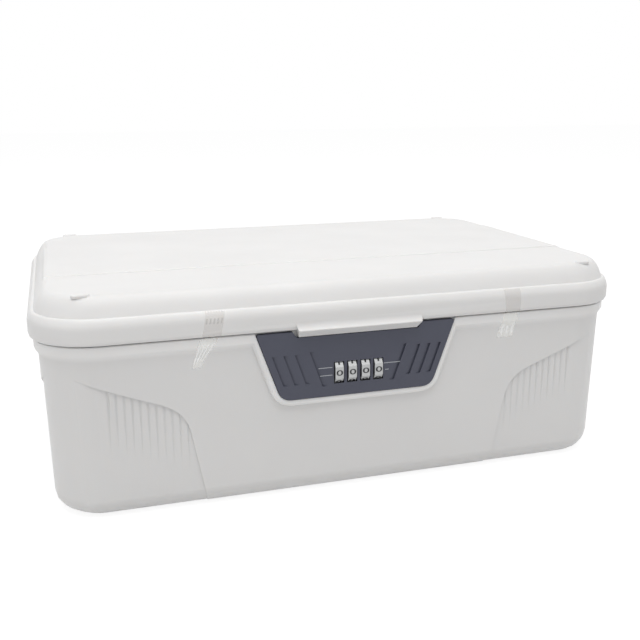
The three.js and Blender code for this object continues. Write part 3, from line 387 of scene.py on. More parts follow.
@dataclass
class Paints:
    """The finishes of the whole box, each made once."""

    # Moulded ABS: a slightly warm white with a soft satin highlight; on the case a lighter flange and frame are
    # a painted highlight, and a darker wall below them is painted shade, partly also the thin wall's dark
    # inside
    white: bpy.types.Material = field(default_factory=lambda: MouldedPlastic(
        "white_moulded_abs", "#F1F0EF", 0.4, cloud_shade="#DBDAD9", cloud_share=0.2,
        thin_wall_and_painted_shade="#E3E2E1", creep=0.35).build())
    # Moulded polypropylene, spark eroded coarser: matt, with a faint blue cast and a visible fine grain
    slate: bpy.types.Material = field(default_factory=lambda: MouldedPlastic(
        "slate_moulded_polypropylene", "#474957", 0.55, grain_mm=0.7, grain_depth_mm=0.025, cloud_mm=20.0,
        cloud_shade="#525560", cloud_share=0.4).build())
    # Moulded nylon of the lock's inner parts: plain, slightly waxy grey
    grey: bpy.types.Material = field(default_factory=lambda: MouldedPlastic(
        "grey_moulded_nylon", "#B4B7BA", 0.5, cloud_shade="#9DA0A3", cloud_share=0.3).build())
    # Zinc alloy with satin nickel: bright, soft reflections without sparkle
    wheel: bpy.types.Material = field(default_factory=lambda: PlatedMetal(
        "satin_nickel_on_zinc_alloy", "#B9BABA", 0.5, drift_shade="#96989A").build())
    # Stamped and turned steel with bright zinc: greyer and a little harder in its highlight
    steel: bpy.types.Material = field(default_factory=lambda: PlatedMetal(
        "bright_zinc_on_steel", "#B9BBBD", 0.3, pit_mm=0.7, drift_shade="#8E9194").build())
    # Clear polypropylene tape pressed tight onto the lid: wets out, so it darkens the white a little
    tight_film: bpy.types.Material = field(default_factory=lambda: ClearFilm(
        "clear_polypropylene_tape_pressed", "#BBB2AB", 0.3, milkiness=0.12, crimp_shade="#A39C96",
        crimp_milkiness=0.27).build())
    # The same tape with air under it: catches the light, and its crimps have turned white
    loose_film: bpy.types.Material = field(default_factory=lambda: ClearFilm(
        "clear_polypropylene_tape_lifted", "#FBFBF7", 0.3, milkiness=0.3, crimp_shade="#FFFFFF",
        crimp_milkiness=0.8).build())
    # Black filling of the wheels' numbers
    ink: bpy.types.Material = field(default_factory=lambda: PrintedInk(
        "black_filled_number", "#232427", 0.5).build())
    # Pale printed lines beside the windows
    line: bpy.types.Material = field(default_factory=lambda: PrintedInk(
        "pale_grey_print", "#B4B7BC", 0.5, uneven_shade="#8E9197").build())


# Mesh helpers


def grid_quads(rows: int, columns: int, wrap: bool = False) -> np.ndarray:
    """Returns the quads of a grid of points that is stored row by row.

    Each quad joins a point to its neighbours one row and one column on.

    Args:
        rows: Rows of points.
        columns: Points in a row.
        wrap: Whether each row closes on itself.

    Returns:
        An array of four point numbers for each quad.
    """
    across = np.arange(columns if wrap else columns - 1)
    down = np.arange(rows - 1)[:, None] * columns
    onward = (across + 1) % columns
    quads = np.stack([down + across, down + onward, down + columns + onward, down + columns + across], axis=-1)
    return quads.reshape(-1, 4)


def mesh_piece(name: str, points: np.ndarray, faces: list | np.ndarray,
               finish: bpy.types.Material) -> bpy.types.Object:
    """Makes an object at the origin from points in millimetres.

    Args:
        name: The piece's name.
        points: One row of x, y and z for each point.
        faces: Point numbers for each face.
        finish: The material.

    Returns:
        The new object, with its normals recalculated to point outwards.
    """
    mesh = bpy.data.meshes.new(name)
    rows = faces.tolist() if isinstance(faces, np.ndarray) else faces
    mesh.from_pydata((np.asarray(points, float) * MM).tolist(), [], rows)
    work = bmesh.new()
    work.from_mesh(mesh)
    bmesh.ops.remove_doubles(work, verts=work.verts, dist=SAME_NEW_POINT)
    bmesh.ops.recalc_face_normals(work, faces=work.faces)
    work.to_mesh(mesh)
    work.free()
    mesh.materials.append(finish)
    piece = bpy.data.objects.new(name, mesh)
    bpy.context.scene.collection.objects.link(piece)
    return piece


def smooth(piece: bpy.types.Object, angle: float) -> None:
    """Shades a piece smooth and keeps its sharp edges.

    Args:
        piece: The piece.
        angle: Degrees; faces that meet at more keep a sharp edge.
    """
    piece.data.shade_smooth()
    piece.data.set_sharp_from_angle(angle=math.radians(angle))
    weighted = piece.modifiers.new("weighted_normals", "WEIGHTED_NORMAL")
    weighted.keep_sharp = True
    weighted.weight = LARGE_FACES_LEAD


def round_edges(piece: bpy.types.Object, width_mm: float, angle: float) -> None:
    """Rounds a piece's edges.

    Args:
        piece: The piece.
        width_mm: Width of the rounding.
        angle: Degrees; only edges whose faces meet at more are rounded.
    """
    bevel = piece.modifiers.new("rounded_edges", "BEVEL")
    bevel.width = width_mm * MM
    bevel.segments = EDGE_SEGMENTS
    bevel.limit_method = "ANGLE"
    bevel.angle_limit = math.radians(angle)
    bevel.use_clamp_overlap = True


def merged_copy(node: str, finish: bpy.types.Material, body: str) -> bpy.types.Object:
    """Copies a node's loose triangles into one closed mesh that stands for the node.

    Args:
        node: The node's name.
        finish: The material of the copy.
        body: The body that the copy rides on.

    Returns:
        The copy, whose flat regions are single faces.
    """
    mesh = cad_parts[node].data.copy()
    mesh.materials.clear()
    mesh.materials.append(finish)
    work = bmesh.new()
    work.from_mesh(mesh)
    bmesh.ops.remove_doubles(work, verts=work.verts, dist=SAME_POINT)
    bmesh.ops.dissolve_limit(work, angle_limit=math.radians(FLAT), verts=work.verts, edges=work.edges)
    work.to_mesh(mesh)
    work.free()
    for name in [layer.name for layer in mesh.uv_layers]:
        mesh.uv_layers.remove(mesh.uv_layers[name])
    piece = bpy.data.objects.new(f"{node}_dressed", mesh)
    bpy.context.scene.collection.objects.link(piece)
    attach(piece, body)
    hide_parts(node)
    LOG.info("%s: %d faces on %s", piece.name, len(mesh.polygons), body)
    return piece


def paint_node(node: str, finish: bpy.types.Material) -> None:
    """Gives a node that keeps its own mesh a finish in all its material slots.

    Args:
        node: The node's name.
        finish: The material.
    """
    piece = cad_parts[node]
    for index in range(len(piece.material_slots)):
        piece.material_slots[index].material = finish
    LOG.info("%s: painted as it is", node)


def inset(points: np.ndarray) -> np.ndarray:
    """Measures how far in from the lid's outline each point lies.

    The outline is a rounded rectangle, so the inset is the corner's radius less the distance from
    the rectangle that the corners' centres span, or more than the radius inside that rectangle.

    Args:
        points: One row of x, y and z for each point, in millimetres.

    Returns:
        One inset for each point, in millimetres.
    """
    beyond_x = np.abs(points[:, 0]) - (HALF_WIDTH - CORNER)
    beyond_y = np.abs(points[:, 1] - CENTRE_Y) - (HALF_DEPTH - CORNER)
    outside = np.hypot(np.maximum(beyond_x, 0), np.maximum(beyond_y, 0))
    return CORNER - outside - np.minimum(np.maximum(beyond_x, beyond_y), 0)


def mesh_points(mesh: bpy.types.Mesh) -> np.ndarray:
    """Reads a mesh's points.

    Args:
        mesh: The mesh.

    Returns:
        One row of x, y and z for each point, in millimetres.
    """
    flat = np.empty(len(mesh.vertices) * 3, np.float32)
    mesh.vertices.foreach_get("co", flat)
    return flat.reshape(-1, 3) / MM


def point_attribute(mesh: bpy.types.Mesh, name: str, values: np.ndarray) -> None:
    """Stores one number for each point of a mesh under a name that materials can read."""
    layer = mesh.attributes.new(name, "FLOAT", "POINT")
    layer.data.foreach_set("value", np.ascontiguousarray(values, np.float32).ravel())


# Sub-assemblies


@dataclass
class Mouldings:
    """The case and the lid, with their hinge pins.

    Attributes:
        crease: Degrees; a sharper turn of a moulding stays an edge.
        pin_crease: The same for a pin.
        ledge_round: Rounding of the lid's ledge.
        ledge_segments: Steps in it.
        ledge_height_slack: How far from the ledge's height its points may lie.
        ledge_inset_slack: How far from the ledge's inset.
        thin_and_shaded_from: How much further in than the flange the case's wall counts as thin and takes the
            painted shade instead of the flange's painted highlight.
        lid_tone_share: The lid's even tone, between the wall's painted-shade tone at zero and the flange's
            painted-highlight tone at one.
    """

    paints: Paints
    crease: float = 28.0
    pin_crease: float = 35.0
    ledge_round: float = 0.75
    ledge_segments: int = 4
    ledge_height_slack: float = 0.05
    ledge_inset_slack: float = 0.1
    thin_and_shaded_from: float = 1.9
    lid_tone_share: float = 0.2

    def build(self) -> None:
        """Dresses the case, the lid and the two pins."""
        case = merged_copy("case_tub", self.paints.white, Body.CASE.value)
        # Painted light: the flange and the frame round the plate get one and the lighter tone, a painted
        # highlight; the wall further in gets zero and the darker tone, painted shade under the flange, partly
        # also the thin wall's dark inside
        depth = (inset(mesh_points(case.data)) - FLANGE_IN) / self.thin_and_shaded_from
        point_attribute(case.data, THICKNESS_AND_PAINTED_LIGHT, np.clip(1 - depth, 0, 1))
        smooth(case, self.crease)
        lid = merged_copy("lid_shell", self.paints.white, Body.LID.value)
        point_attribute(lid.data, THICKNESS_AND_PAINTED_LIGHT, np.full(len(lid.data.vertices), self.lid_tone_share))
        self.round_ledge(lid)
        smooth(lid, self.crease)
        for node in ("hinge_pin_left", "hinge_pin_right"):
            smooth(merged_copy(node, self.paints.steel, Body.CASE.value), self.pin_crease)

    def round_ledge(self, lid: bpy.types.Object) -> None:
        """Rounds the ledge's outer edge, whose points all lie at one height and one inset.

        Args:
            lid: The lid.
        """
        points = mesh_points(lid.data)
        at_height = np.abs(points[:, 2] - LEDGE_Z) < self.ledge_height_slack
        at_inset = np.abs(inset(points) - LEDGE_IN) < self.ledge_inset_slack
        ends = np.empty(len(lid.data.edges) * 2, np.int32)
        lid.data.edges.foreach_get("vertices", ends)
        weights = (at_height & at_inset)[ends.reshape(-1, 2)].all(axis=1).astype(np.float32)
        lid.data.attributes.new("bevel_weight_edge", "FLOAT", "EDGE").data.foreach_set("value", weights)
        bevel = lid.modifiers.new("round_ledge", "BEVEL")
        bevel.width = self.ledge_round * MM
        bevel.segments = self.ledge_segments
        bevel.limit_method = "WEIGHT"
        LOG.info("%s: ledge rounded along %d edges", lid.name, int(weights.sum()))


@dataclass
class LockFace:
    """The dark plate with the printed lines beside its windows.

    Attributes:
        edge: Rounding of the plate's edges.
        edge_angle: Degrees; only sharper edges are rounded.
        crease: Degrees; a sharper turn stays an edge.
        line_height: Height of a printed line.
        line_proud: How far it stands out, and reaches in.
        left_lines: Start, end and height above the base of each line at the left.
        right_lines: The same at the right.
    """

    paints: Paints
    edge: float = 0.25
    edge_angle: float = 40.0
    crease: float = 30.0
    line_height: float = 0.4
    line_proud: float = 0.06
    left_lines: tuple[tuple[float, float, float], ...] = ((-24.4, -16.1, 78.0), (-23.5, -16.1, 73.4))
    right_lines: tuple[tuple[float, float, float], ...] = ((15.5, 25.6, 77.6), (16.3, 18.5, 73.6))

    def build(self) -> None:
        """Dresses the plate and prints its lines."""
        plate = merged_copy("lock_plate", self.paints.slate, Body.CASE.value)
        round_edges(plate, self.edge, self.edge_angle)
        smooth(plate, self.crease)
        for index, (start, end, height) in enumerate(self.left_lines + self.right_lines):
            self.print_line(f"index_line_{index + 1}", start, end, height)

    def print_line(self, name: str, start: float, end: float, height: float) -> None:
        """Prints one line as a thin raised bar.

        The bar is a loop round its cross-section, carried from start to end and capped.

        Args:
            name: The piece's name.
            start: Where the line begins, along X.
            end: Where it ends.
            height: Its height above the base.
        """
        front, back = PLATE_FRONT_Y - self.line_proud, PLATE_FRONT_Y + self.line_proud
        half = self.line_height / 2
        loop = np.array([[front, height - half], [front, height + half],
                         [back, height + half], [back, height - half]])
        ends = np.array([start, end])
        points = np.concatenate([np.column_stack([np.full(4, x), loop]) for x in ends])
        faces = grid_quads(2, 4, wrap=True).tolist() + [[0, 1, 2, 3], [7, 6, 5, 4]]
        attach(mesh_piece(name, points, faces, self.paints.line), Body.CASE.value)
        LOG.info("%s: printed", name)


@dataclass
class NumberWheels:
    """Four ten-sided wheels with black numbers on their flats.

    Attributes:
        edge: Rounding of a wheel's edges.
        edge_angle: Degrees; only sharper edges are rounded.
        crease: Degrees; a sharper turn stays an edge.
        height: Height of a digit.
        broaden: How much broader it is than the plain type; broad enough that the digit on the lower flat
            darkens it, painted shade that stands in for the shade there.
        bold: How much each stroke grows outwards, as a share of the type size.
        curve_steps: Steps in each curve of the type.
        proud: How far a digit stands out, and reaches in.
    """

    paints: Paints
    edge: float = 0.35
    edge_angle: float = 20.0
    crease: float = 25.0
    height: float = 3.3
    # Partly print, partly painted shade: the broad digit on the lower flat darkens that flat as the shade there
    # would
    broaden: float = 1.9
    bold: float = 0.012
    curve_steps: int = 6
    proud: float = 0.05

    def build(self) -> None:
        """Dresses each wheel and puts its numbers on."""
        for index in range(WHEEL_COUNT):
            body = f"wheel_{index + 1}"
            wheel = merged_copy(f"number_{body}", self.paints.wheel, body)
            round_edges(wheel, self.edge, self.edge_angle)
            smooth(wheel, self.crease)
            self.number(index)

    def glyph(self, digit: int) -> bpy.types.Mesh:
        """Makes one digit as a flat-backed mesh round its own middle.

        Args:
            digit: The digit, zero to nine.

        Returns:
            The mesh in metres: X to the right, Y up and Z out of the wheel.
        """
        curve = bpy.data.curves.new("glyph", "FONT")
        curve.body = str(digit)
        curve.extrude = self.proud  # any depth will do, as the glyph is scaled below
        curve.offset = self.bold
        curve.resolution_u = self.curve_steps
        holder = bpy.data.objects.new("glyph", curve)
        mesh = bpy.data.meshes.new_from_object(holder)
        bpy.data.objects.remove(holder)
        bpy.data.curves.remove(curve)
        flat = np.empty(len(mesh.vertices) * 3, np.float32)
        mesh.vertices.foreach_get("co", flat)
        points = flat.reshape(-1, 3)
        low, high = points.min(axis=0), points.max(axis=0)
        points -= (low + high) / 2
        tall = high[1] - low[1]
        points *= np.array([self.broaden * self.height / tall, self.height / tall, 1]) * MM
        points[:, 2] = np.where(points[:, 2] > 0, self.proud, -self.proud) * MM
        mesh.vertices.foreach_set("co", points.ravel())
        return mesh

    def number(self, index: int) -> None:
        """Puts the ten digits of one wheel into one piece.

        Digit n sits on the flat that is n tenths of a turn above the front one, with its top towards
        the next digit.

        Args:
            index: The wheel, counted from the left.
        """
        x = (index - (WHEEL_COUNT - 1) / 2) * WHEEL_PITCH
        work = bmesh.new()
        for digit in range(DIGITS):
            turn = digit * 2 * math.pi / DIGITS
            out = Vector((0, -math.cos(turn), math.sin(turn)))
            up = Vector((0, math.sin(turn), math.cos(turn)))
            middle = Vector((x, WHEEL_Y, WHEEL_Z)) + out * WHEEL_FLAT
            place = Matrix.Translation(middle * MM) @ Matrix((Vector((1, 0, 0)), up, out)).transposed().to_4x4()
            glyph = self.glyph(digit)
            glyph.transform(place)
            work.from_mesh(glyph)
            bpy.data.meshes.remove(glyph)
        bmesh.ops.remove_doubles(work, verts=work.verts, dist=SAME_NEW_POINT)
        bmesh.ops.recalc_face_normals(work, faces=work.faces)
        mesh = bpy.data.meshes.new(f"wheel_numbers_{index + 1}")
        work.to_mesh(mesh)
        work.free()
        mesh.materials.append(self.paints.ink)
        piece = bpy.data.objects.new(mesh.name, mesh)
        bpy.context.scene.collection.objects.link(piece)
        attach(piece, f"wheel_{index + 1}")
        LOG.info("%s: ten digits", piece.name)


@dataclass
class LockWorks:
    """The parts behind the plate: cams, spindle, housing, cover, detent leaves, reset parts and striker.

    Attributes:
        cam_crease: Degrees; a sharper turn of a cam stays an edge.
        spindle_crease: The same for the spindle.
    """

    paints: Paints
    cam_crease: float = 30.0
    spindle_crease: float = 35.0

    def build(self) -> None:
        """Dresses the round parts smoothly and paints the flat ones as they are."""
        steel = self.paints.steel
        for number in range(1, WHEEL_COUNT + 1):
            cam = merged_copy(f"code_cam_{number}", steel, f"cam_{number}")
            smooth(cam, self.cam_crease)
        smooth(merged_copy("lock_spindle", steel, Body.CASE.value), self.spindle_crease)
        for node in ("lock_housing", "lock_cover", "reset_slider"):
            paint_node(node, self.paints.grey)
        for node in ("detent_spring", "reset_spring", "lid_striker"):
            paint_node(node, self.paints.steel)


@dataclass
class Screws:
    """The pan-head screws, each with a cross recess, in place of the plain solids.

    Attributes:
        head: Radius of the head.
        rise: Height of the head.
        shank: Radius of the shank.
        tip: Radius of the shank's flat tip.
        pitch: Pitch of the thread.
        thread: Depth of the thread.
        thread_from: Where the thread starts, from the tip.
        thread_short: How far short of the head it ends.
        taper: How much narrower the crown is than the head's rim, as a share.
        shoulder: Height of the head's straight side, as a share of its rise.
        crown: Steps from the head's side to its middle.
        pole: Share of a quarter turn after which the crown counts as closed.
        arm: Half the length of the cross recess.
        slit: Half the width of one arm of the cross.
        sink: Depth of the recess, from the top of the solid.
        above: How far the cutter reaches past the top.
        mouth: Size of the cutter above the head, as a share of the cross.
        floor: Size of the cutter at its bottom.
        steps: Steps round the screw.
        crease: Degrees; a sharper turn stays an edge.
    """

    paints: Paints
    head: float = 2.7
    rise: float = 1.7
    shank: float = 1.4
    tip: float = 0.63
    pitch: float = 0.7
    thread: float = 0.22
    thread_from: float = 1.2
    thread_short: float = 0.4
    taper: float = 0.12
    shoulder: float = 0.55
    crown: int = 7
    pole: float = 0.995
    arm: float = 1.45
    slit: float = 0.36
    sink: float = 1.1
    above: float = 0.5
    mouth: float = 1.1
    floor: float = 0.55
    steps: int = 32
    crease: float = 35.0

    def build(self) -> None:
        """Makes every screw from the box of the solid that it replaces."""
        rows = [("plate_screw", 4, Body.CASE), ("cover_screw", 2, Body.CASE), ("striker_screw", 2, Body.LID)]
        for stem, count, body in rows:
            for index in range(count):
                self.screw(f"{stem}_{index + 1}", body, -1.0 if body is Body.LID else 1.0)

    def screw(self, node: str, body: Body, facing: float) -> None:
        """Makes one screw.

        The profile, from the shank's tip to the crown of the head, is turned about the screw's own
        axis: radius r at station s goes to (r cos a, s, r sin a). A cross of two slots is then cut
        into the crown.

        Args:
            node: The solid that it replaces.
            body: The body that it rides on.
            facing: Which way the head looks along Y.
        """
        low, high = (np.array(corner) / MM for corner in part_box(node))
        middle = (low + high) / 2
        length = high[1] - low[1]
        neck = length - self.rise
        arc = np.linspace(0, math.pi / 2, self.crown)
        thread = np.arange(self.thread_from, neck - self.thread_short, self.pitch / 2)
        ridge = self.shank - self.thread * (np.arange(len(thread)) % 2)
        crown_radius = self.head * (1 - self.taper * (1 - np.cos(arc))) * np.cos(arc * self.pole)
        crown_station = length - self.rise * (1 - self.shoulder) * (1 - np.sin(arc))
        radius = np.concatenate([[0.0, self.tip], ridge, [self.shank, self.head], crown_radius])
        station = np.concatenate([[0.0, 0.0], thread, [neck, neck], crown_station])
        turn = np.linspace(0, 2 * math.pi, self.steps, endpoint=False)
        along = (station - length / 2)[:, None] * np.ones_like(turn) * facing
        points = np.stack([radius[:, None] * np.cos(turn), along, radius[:, None] * np.sin(turn)], axis=-1)
        quads = grid_quads(len(radius), self.steps, wrap=True)
        piece = mesh_piece(f"{node}_dressed", points.reshape(-1, 3) + middle, quads, self.paints.steel)
        self.recess(piece, middle, length, facing)
        smooth(piece, self.crease)
        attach(piece, body.value)
        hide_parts(node)
        LOG.info("%s: turned, with a cross recess", piece.name)

    def recess(self, piece: bpy.types.Object, middle: np.ndarray, length: float, facing: float) -> None:
        """Cuts the cross into the head.

        The cutter is a twelve-cornered cross that narrows towards its bottom.

        Args:
            piece: The screw.
            middle: The middle of the screw's box.
            length: The screw's length.
            facing: Which way the head looks along Y.
        """
        a, s = self.arm, self.slit
        cross = np.array([[a, -s], [a, s], [s, s], [s, a], [-s, a], [-s, s],
                          [-a, s], [-a, -s], [-s, -s], [-s, -a], [s, -a], [s, -s]])
        corners = len(cross)
        top, bottom = length / 2 + self.above, length / 2 - self.sink
        rings = [np.column_stack([cross[:, 0] * scale, np.full(corners, facing * at), cross[:, 1] * scale])
                 for scale, at in ((self.mouth, top), (self.floor, bottom))]
        ends = [list(range(corners)), list(range(2 * corners - 1, corners - 1, -1))]
        faces = grid_quads(2, corners, wrap=True).tolist() + ends
        cutter = mesh_piece("cross_cutter", np.concatenate(rings) + middle, faces, self.paints.steel)
        cut = piece.modifiers.new("cross", "BOOLEAN")
        cut.object = cutter
        cut.operation = "DIFFERENCE"
        cut.solver = "EXACT"
        done = bpy.data.meshes.new_from_object(piece.evaluated_get(bpy.context.evaluated_depsgraph_get()))
        piece.modifiers.clear()
        piece.data = done
        bpy.data.objects.remove(cutter)


@dataclass(frozen=True)
class Crimps:
    """Ridges that a roller pressed into one half of a strip.

    Attributes:
        count: Ridges across the strip.
        start: Where they start, as a share of the way down.
        end: Where they end.
        slant: How far they drift to the left on the way, in widths of the strip.
        height: Height of a ridge.
        shorter: How much shorter the ridge at the right is than the one at the left, as a share.
    """

    count: int
    start: float
    end: float
    slant: float
    height: float
    shorter: float = 0.0


NO_CRIMPS = Crimps(0, 0.0, 1.0, 0.0, 0.0)


@dataclass(frozen=True)
class TapeHalf:
    """One half of a strip, above or below the slit.

    Attributes:
        name: The piece's name.
        body: The body that it sticks to.
        top: Middle, width and height above the base at its upper end.
        bottom: The same at its lower end.
        crimps: Its ridges.
    """

    name: str
    body: Body
    top: tuple[float, float, float]
    bottom: tuple[float, float, float]
    crimps: Crimps


@dataclass
class TransitTape:
    """Two clear strips over the seam, slit along it, so each has an upper and a lower half.

    Attributes:
        lift: How far the middle of the film lies over the plastic.
        film: Thickness of the film.
        teeth: Saw teeth across a torn end.
        tooth: How far a tooth stands out.
        torn: The torn end's part of a half, as a share of its height.
        fade: The part of a ridge's run over which it fades in or out.
        rows: Steps down a half.
        columns: Steps across it.
        crease: Degrees; a sharper turn stays an edge.
        lid_front: How far in the lid's front lies at heights above the base: foot, skirt and shoulder.
        case_front: The same for the case's front, where the film bridges the cove.
        halves: The four halves.
    """

    paints: Paints
    lift: float = 0.08
    film: float = 0.05
    teeth: int = 7
    tooth: float = 0.8
    torn: float = 1 / 6
    fade: float = 0.2
    rows: int = 72
    columns: int = 85
    crease: float = 60.0
    lid_front: tuple[tuple[float, float], ...] = (
        (102.1, 1.3), (102.8, 0.43), (104.2, 0.0), (110.2, 0.0), (112.0, 0.08), (113.5, 0.35), (114.8, 0.95),
        (115.8, 1.75), (116.4, 2.7))
    case_front: tuple[tuple[float, float], ...] = (
        (70.0, 4.99), (89.6, 4.65), (96.2, 2.4), (100.8, 2.4), (101.3, 2.9))
    halves: tuple[TapeHalf, ...] = (
        TapeHalf("tape_left_upper", Body.LID, (-82.4, 10.4, 115.6), (-85.1, 10.4, 102.4),
                 Crimps(5, 0.2, 0.48, 0.0, 0.03)),
        TapeHalf("tape_left_lower", Body.CASE, (-86.0, 10.4, 101.1), (-93.4, 4.6, 84.5),
                 Crimps(4, 0.18, 1.0, 0.0, 0.03, 0.35)),
        TapeHalf("tape_right_upper", Body.LID, (96.9, 11.0, 115.6), (97.8, 9.6, 102.4), NO_CRIMPS),
        TapeHalf("tape_right_lower", Body.CASE, (97.6, 9.8, 101.1), (95.3, 10.4, 86.0),
                 Crimps(3, 0.5, 0.92, -0.1, 0.03)),
    )

    def build(self) -> None:
        """Makes the four halves."""
        for half in self.halves:
            self.lay(half)

    def lay(self, half: TapeHalf) -> None:
        """Makes one half of a strip.

        A point at v down the strip and u across it, from minus a half to a half, sits at the height
        between the two ends, and along X at the middle plus u times the width there. The torn end has
        saw teeth added to its height. A ridge is the square of a raised cosine across the strip, and
        fades in and out at the two ends of its run. The film follows the front of the moulding.

        Args:
            half: The half's places and ridges.
        """
        on_lid = half.body is Body.LID
        v = np.linspace(0, 1, self.rows)[:, None]
        u = np.linspace(-0.5, 0.5, self.columns)[None, :]
        middle, width, z = (start + v * (end - start) for start, end in zip(half.top, half.bottom))
        saw = self.tooth * np.abs((u + 0.5) * 2 * self.teeth % 2 - 1)
        into = np.clip(1 - v / self.torn, 0, 1) if on_lid else -np.clip(1 - (1 - v) / self.torn, 0, 1)
        z = z + saw * into
        x = middle + u * width
        crimps = half.crimps
        run = (v - crimps.start) / (crimps.end - crimps.start) / (1 - crimps.shorter * (u + 0.5))
        phase = crimps.count * (u + 0.5 + crimps.slant * run)
        shown = np.clip(run / self.fade, 0, 1) * np.clip((1 - run) / self.fade, 0, 1)
        ridge = (0.5 - 0.5 * np.cos(2 * math.pi * phase)) ** 2 * shown
        heights, depths = np.transpose(self.lid_front if on_lid else self.case_front)
        far_in = np.interp(z, heights, depths)
        y = CENTRE_Y - HALF_DEPTH + far_in - self.lift - crimps.height * ridge
        points = np.stack([x, y, z], axis=-1).reshape(-1, 3)
        finish = self.paints.tight_film if on_lid else self.paints.loose_film
        piece = mesh_piece(half.name, points, grid_quads(self.rows, self.columns)[:, ::-1], finish)
        # Film this thin passes all the light on its way to the plastic
        piece.visible_shadow = piece.visible_diffuse = False
        point_attribute(piece.data, CRIMP, ridge)
        film = piece.modifiers.new("film", "SOLIDIFY")
        film.thickness = self.film * MM
        film.offset = 0.0
        smooth(piece, self.crease)
        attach(piece, half.body.value)
        LOG.info("%s: laid on", half.name)


@dataclass(frozen=True)
class Softbox:
    """One square softbox.

    Attributes:
        name: The lamp's name.
        watts: Its power.
        size: The length of its side, in metres.
        place: Where it hangs.
    """

    name: str
    watts: float
    size: float
    place: tuple[float, float, float]


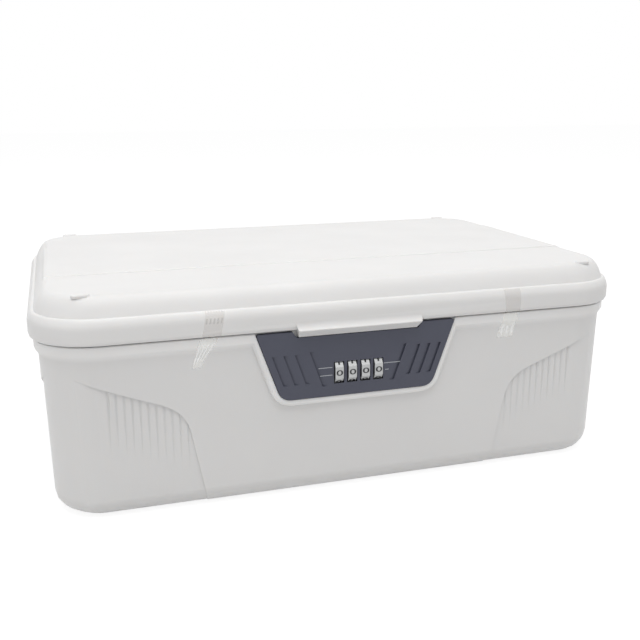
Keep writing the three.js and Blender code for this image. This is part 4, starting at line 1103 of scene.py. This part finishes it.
@dataclass
class Studio:
    """The floor, the light and the camera, in metres.

    Attributes:
        sky: Strength of the even light from all round.
        paper: Tone of the floor as it lights the box.
        floor_glow: The floor's own brightness for the camera.
        floor_white: The part of the floor's brightness that shadows can darken.
        floor_size: The length of the floor's side.
        floor_points: Points along it.
        aim: The point that the softboxes face.
        softboxes: The lamps: one above and a little in front, one low at the left.
        lens: The camera's focal length, in millimetres.
        sensor: The width of its sensor, in millimetres.
        clip: The nearest and the farthest distance that it sees.
        eye: Where it stands: a little to the left of the box, looking down.
        right: Its direction to the right.
        up: Its upward direction.
        forward: Its viewing direction.
    """

    sky: float = 0.54
    paper: str = "#DADADA"
    floor_glow: float = 0.86
    floor_white: float = 0.24
    floor_size: float = 12.0
    floor_points: int = 9
    aim: tuple[float, float, float] = (0.0, 0.0, 0.08)
    softboxes: tuple[Softbox, ...] = (
        Softbox("softbox_above", 20.0, 1.6, (-0.1, -0.45, 1.8)),
        Softbox("softbox_left", 2.0, 1.2, (-1.6, -0.9, 0.8)),
    )
    lens: float = 47.91
    sensor: float = 36.0
    clip: tuple[float, float] = (0.01, 50.0)
    eye: tuple[float, float, float] = (-0.16002, -0.56155, 0.22634)
    right: tuple[float, float, float] = (0.955010, -0.296545, -0.004135)
    up: tuple[float, float, float] = (0.078194, 0.238320, 0.968034)
    forward: tuple[float, float, float] = (0.286080, 0.924805, -0.250786)

    def build(self) -> None:
        """Builds the whole studio."""
        self.world()
        self.floor()
        for softbox in self.softboxes:
            self.hang(softbox)
        self.camera()

    def seen(self, tree: bpy.types.NodeTree) -> bpy.types.NodeSocket:
        """Tells the rays that see the background from those that only light the box.

        Args:
            tree: The node tree that asks.

        Returns:
            A socket that is one for rays from the camera and for reflected or passed ones.
        """
        path = add_node(tree, "ShaderNodeLightPath")
        shiny = add_node(tree, "ShaderNodeMath", {
            0: path.outputs["Is Camera Ray"], 1: path.outputs["Is Glossy Ray"]}, operation="MAXIMUM")
        passed = add_node(tree, "ShaderNodeMath", {
            0: shiny.outputs[0], 1: path.outputs["Is Transmission Ray"]}, operation="MAXIMUM")
        return passed.outputs[0]

    def world(self) -> None:
        """Makes an even white surround: bright where it is seen, softer as light."""
        world = bpy.data.worlds.new("studio_white")
        world.use_nodes = True
        tree = world.node_tree
        tree.nodes.clear()
        strength = add_node(tree, "ShaderNodeMapRange", {
            "Value": self.seen(tree), "To Min": self.sky, "To Max": 1.0})
        light = add_node(tree, "ShaderNodeBackground", {
            "Color": WHITE, "Strength": strength.outputs["Result"]})
        add_node(tree, "ShaderNodeOutputWorld", {"Surface": light.outputs[0]})
        bpy.context.scene.world = world

    def floor(self) -> None:
        """Makes a wide floor that looks white and keeps a soft shadow."""
        half = self.floor_size / 2 / MM
        x, y = np.meshgrid(*[np.linspace(-half, half, self.floor_points)] * 2)
        points = np.stack([x, y, np.zeros_like(x)], axis=-1).reshape(-1, 3)
        material = bpy.data.materials.new("white_paper_floor")
        material.use_nodes = True
        tree = material.node_tree
        tree.nodes.clear()
        paper = add_node(tree, "ShaderNodeBsdfDiffuse", {"Color": linear(self.paper)})
        shade = add_node(tree, "ShaderNodeBsdfDiffuse", {"Color": (*[self.floor_white] * 3, 1.0)})
        glow = add_node(tree, "ShaderNodeEmission", {"Color": WHITE, "Strength": self.floor_glow})
        shown = add_node(tree, "ShaderNodeAddShader", {0: shade.outputs[0], 1: glow.outputs[0]})
        both = add_node(tree, "ShaderNodeMixShader", {
            0: self.seen(tree), 1: paper.outputs[0], 2: shown.outputs[0]})
        add_node(tree, "ShaderNodeOutputMaterial", {"Surface": both.outputs[0]})
        quads = grid_quads(self.floor_points, self.floor_points)
        mesh_piece("studio_floor", points, quads, material)

    def hang(self, softbox: Softbox) -> None:
        """Hangs one softbox so that it faces the box.

        Args:
            softbox: The softbox.
        """
        light = bpy.data.lights.new(softbox.name, "AREA")
        light.shape = "SQUARE"
        light.size = softbox.size
        light.energy = softbox.watts
        lamp = bpy.data.objects.new(softbox.name, light)
        lamp.location = softbox.place
        lamp.rotation_mode = "QUATERNION"
        lamp.rotation_quaternion = (Vector(self.aim) - Vector(softbox.place)).to_track_quat("-Z", "Y")
        bpy.context.scene.collection.objects.link(lamp)

    def camera(self) -> None:
        """Sets the camera where the photographer stood."""
        data = bpy.data.cameras.new("camera")
        data.sensor_width = self.sensor
        data.lens = self.lens
        data.clip_start, data.clip_end = self.clip
        camera = bpy.data.objects.new("camera", data)
        turned = Matrix((Vector(self.right), Vector(self.up), -Vector(self.forward))).transposed().to_4x4()
        camera.matrix_world = Matrix.Translation(self.eye) @ turned
        bpy.context.scene.collection.objects.link(camera)
        bpy.context.scene.camera = camera


def main() -> None:
    """Builds the box's sub-assemblies and the studio, in order."""
    logging.basicConfig(level=logging.INFO, format="%(name)s: %(message)s")
    bpy.context.scene.view_settings.view_transform = "Standard"
    paints = Paints()
    for part in (Mouldings(paints), LockFace(paints), NumberWheels(paints), LockWorks(paints), Screws(paints),
                 TransitTape(paints), Studio()):
        part.build()


if __name__ == "__main__":
    main()
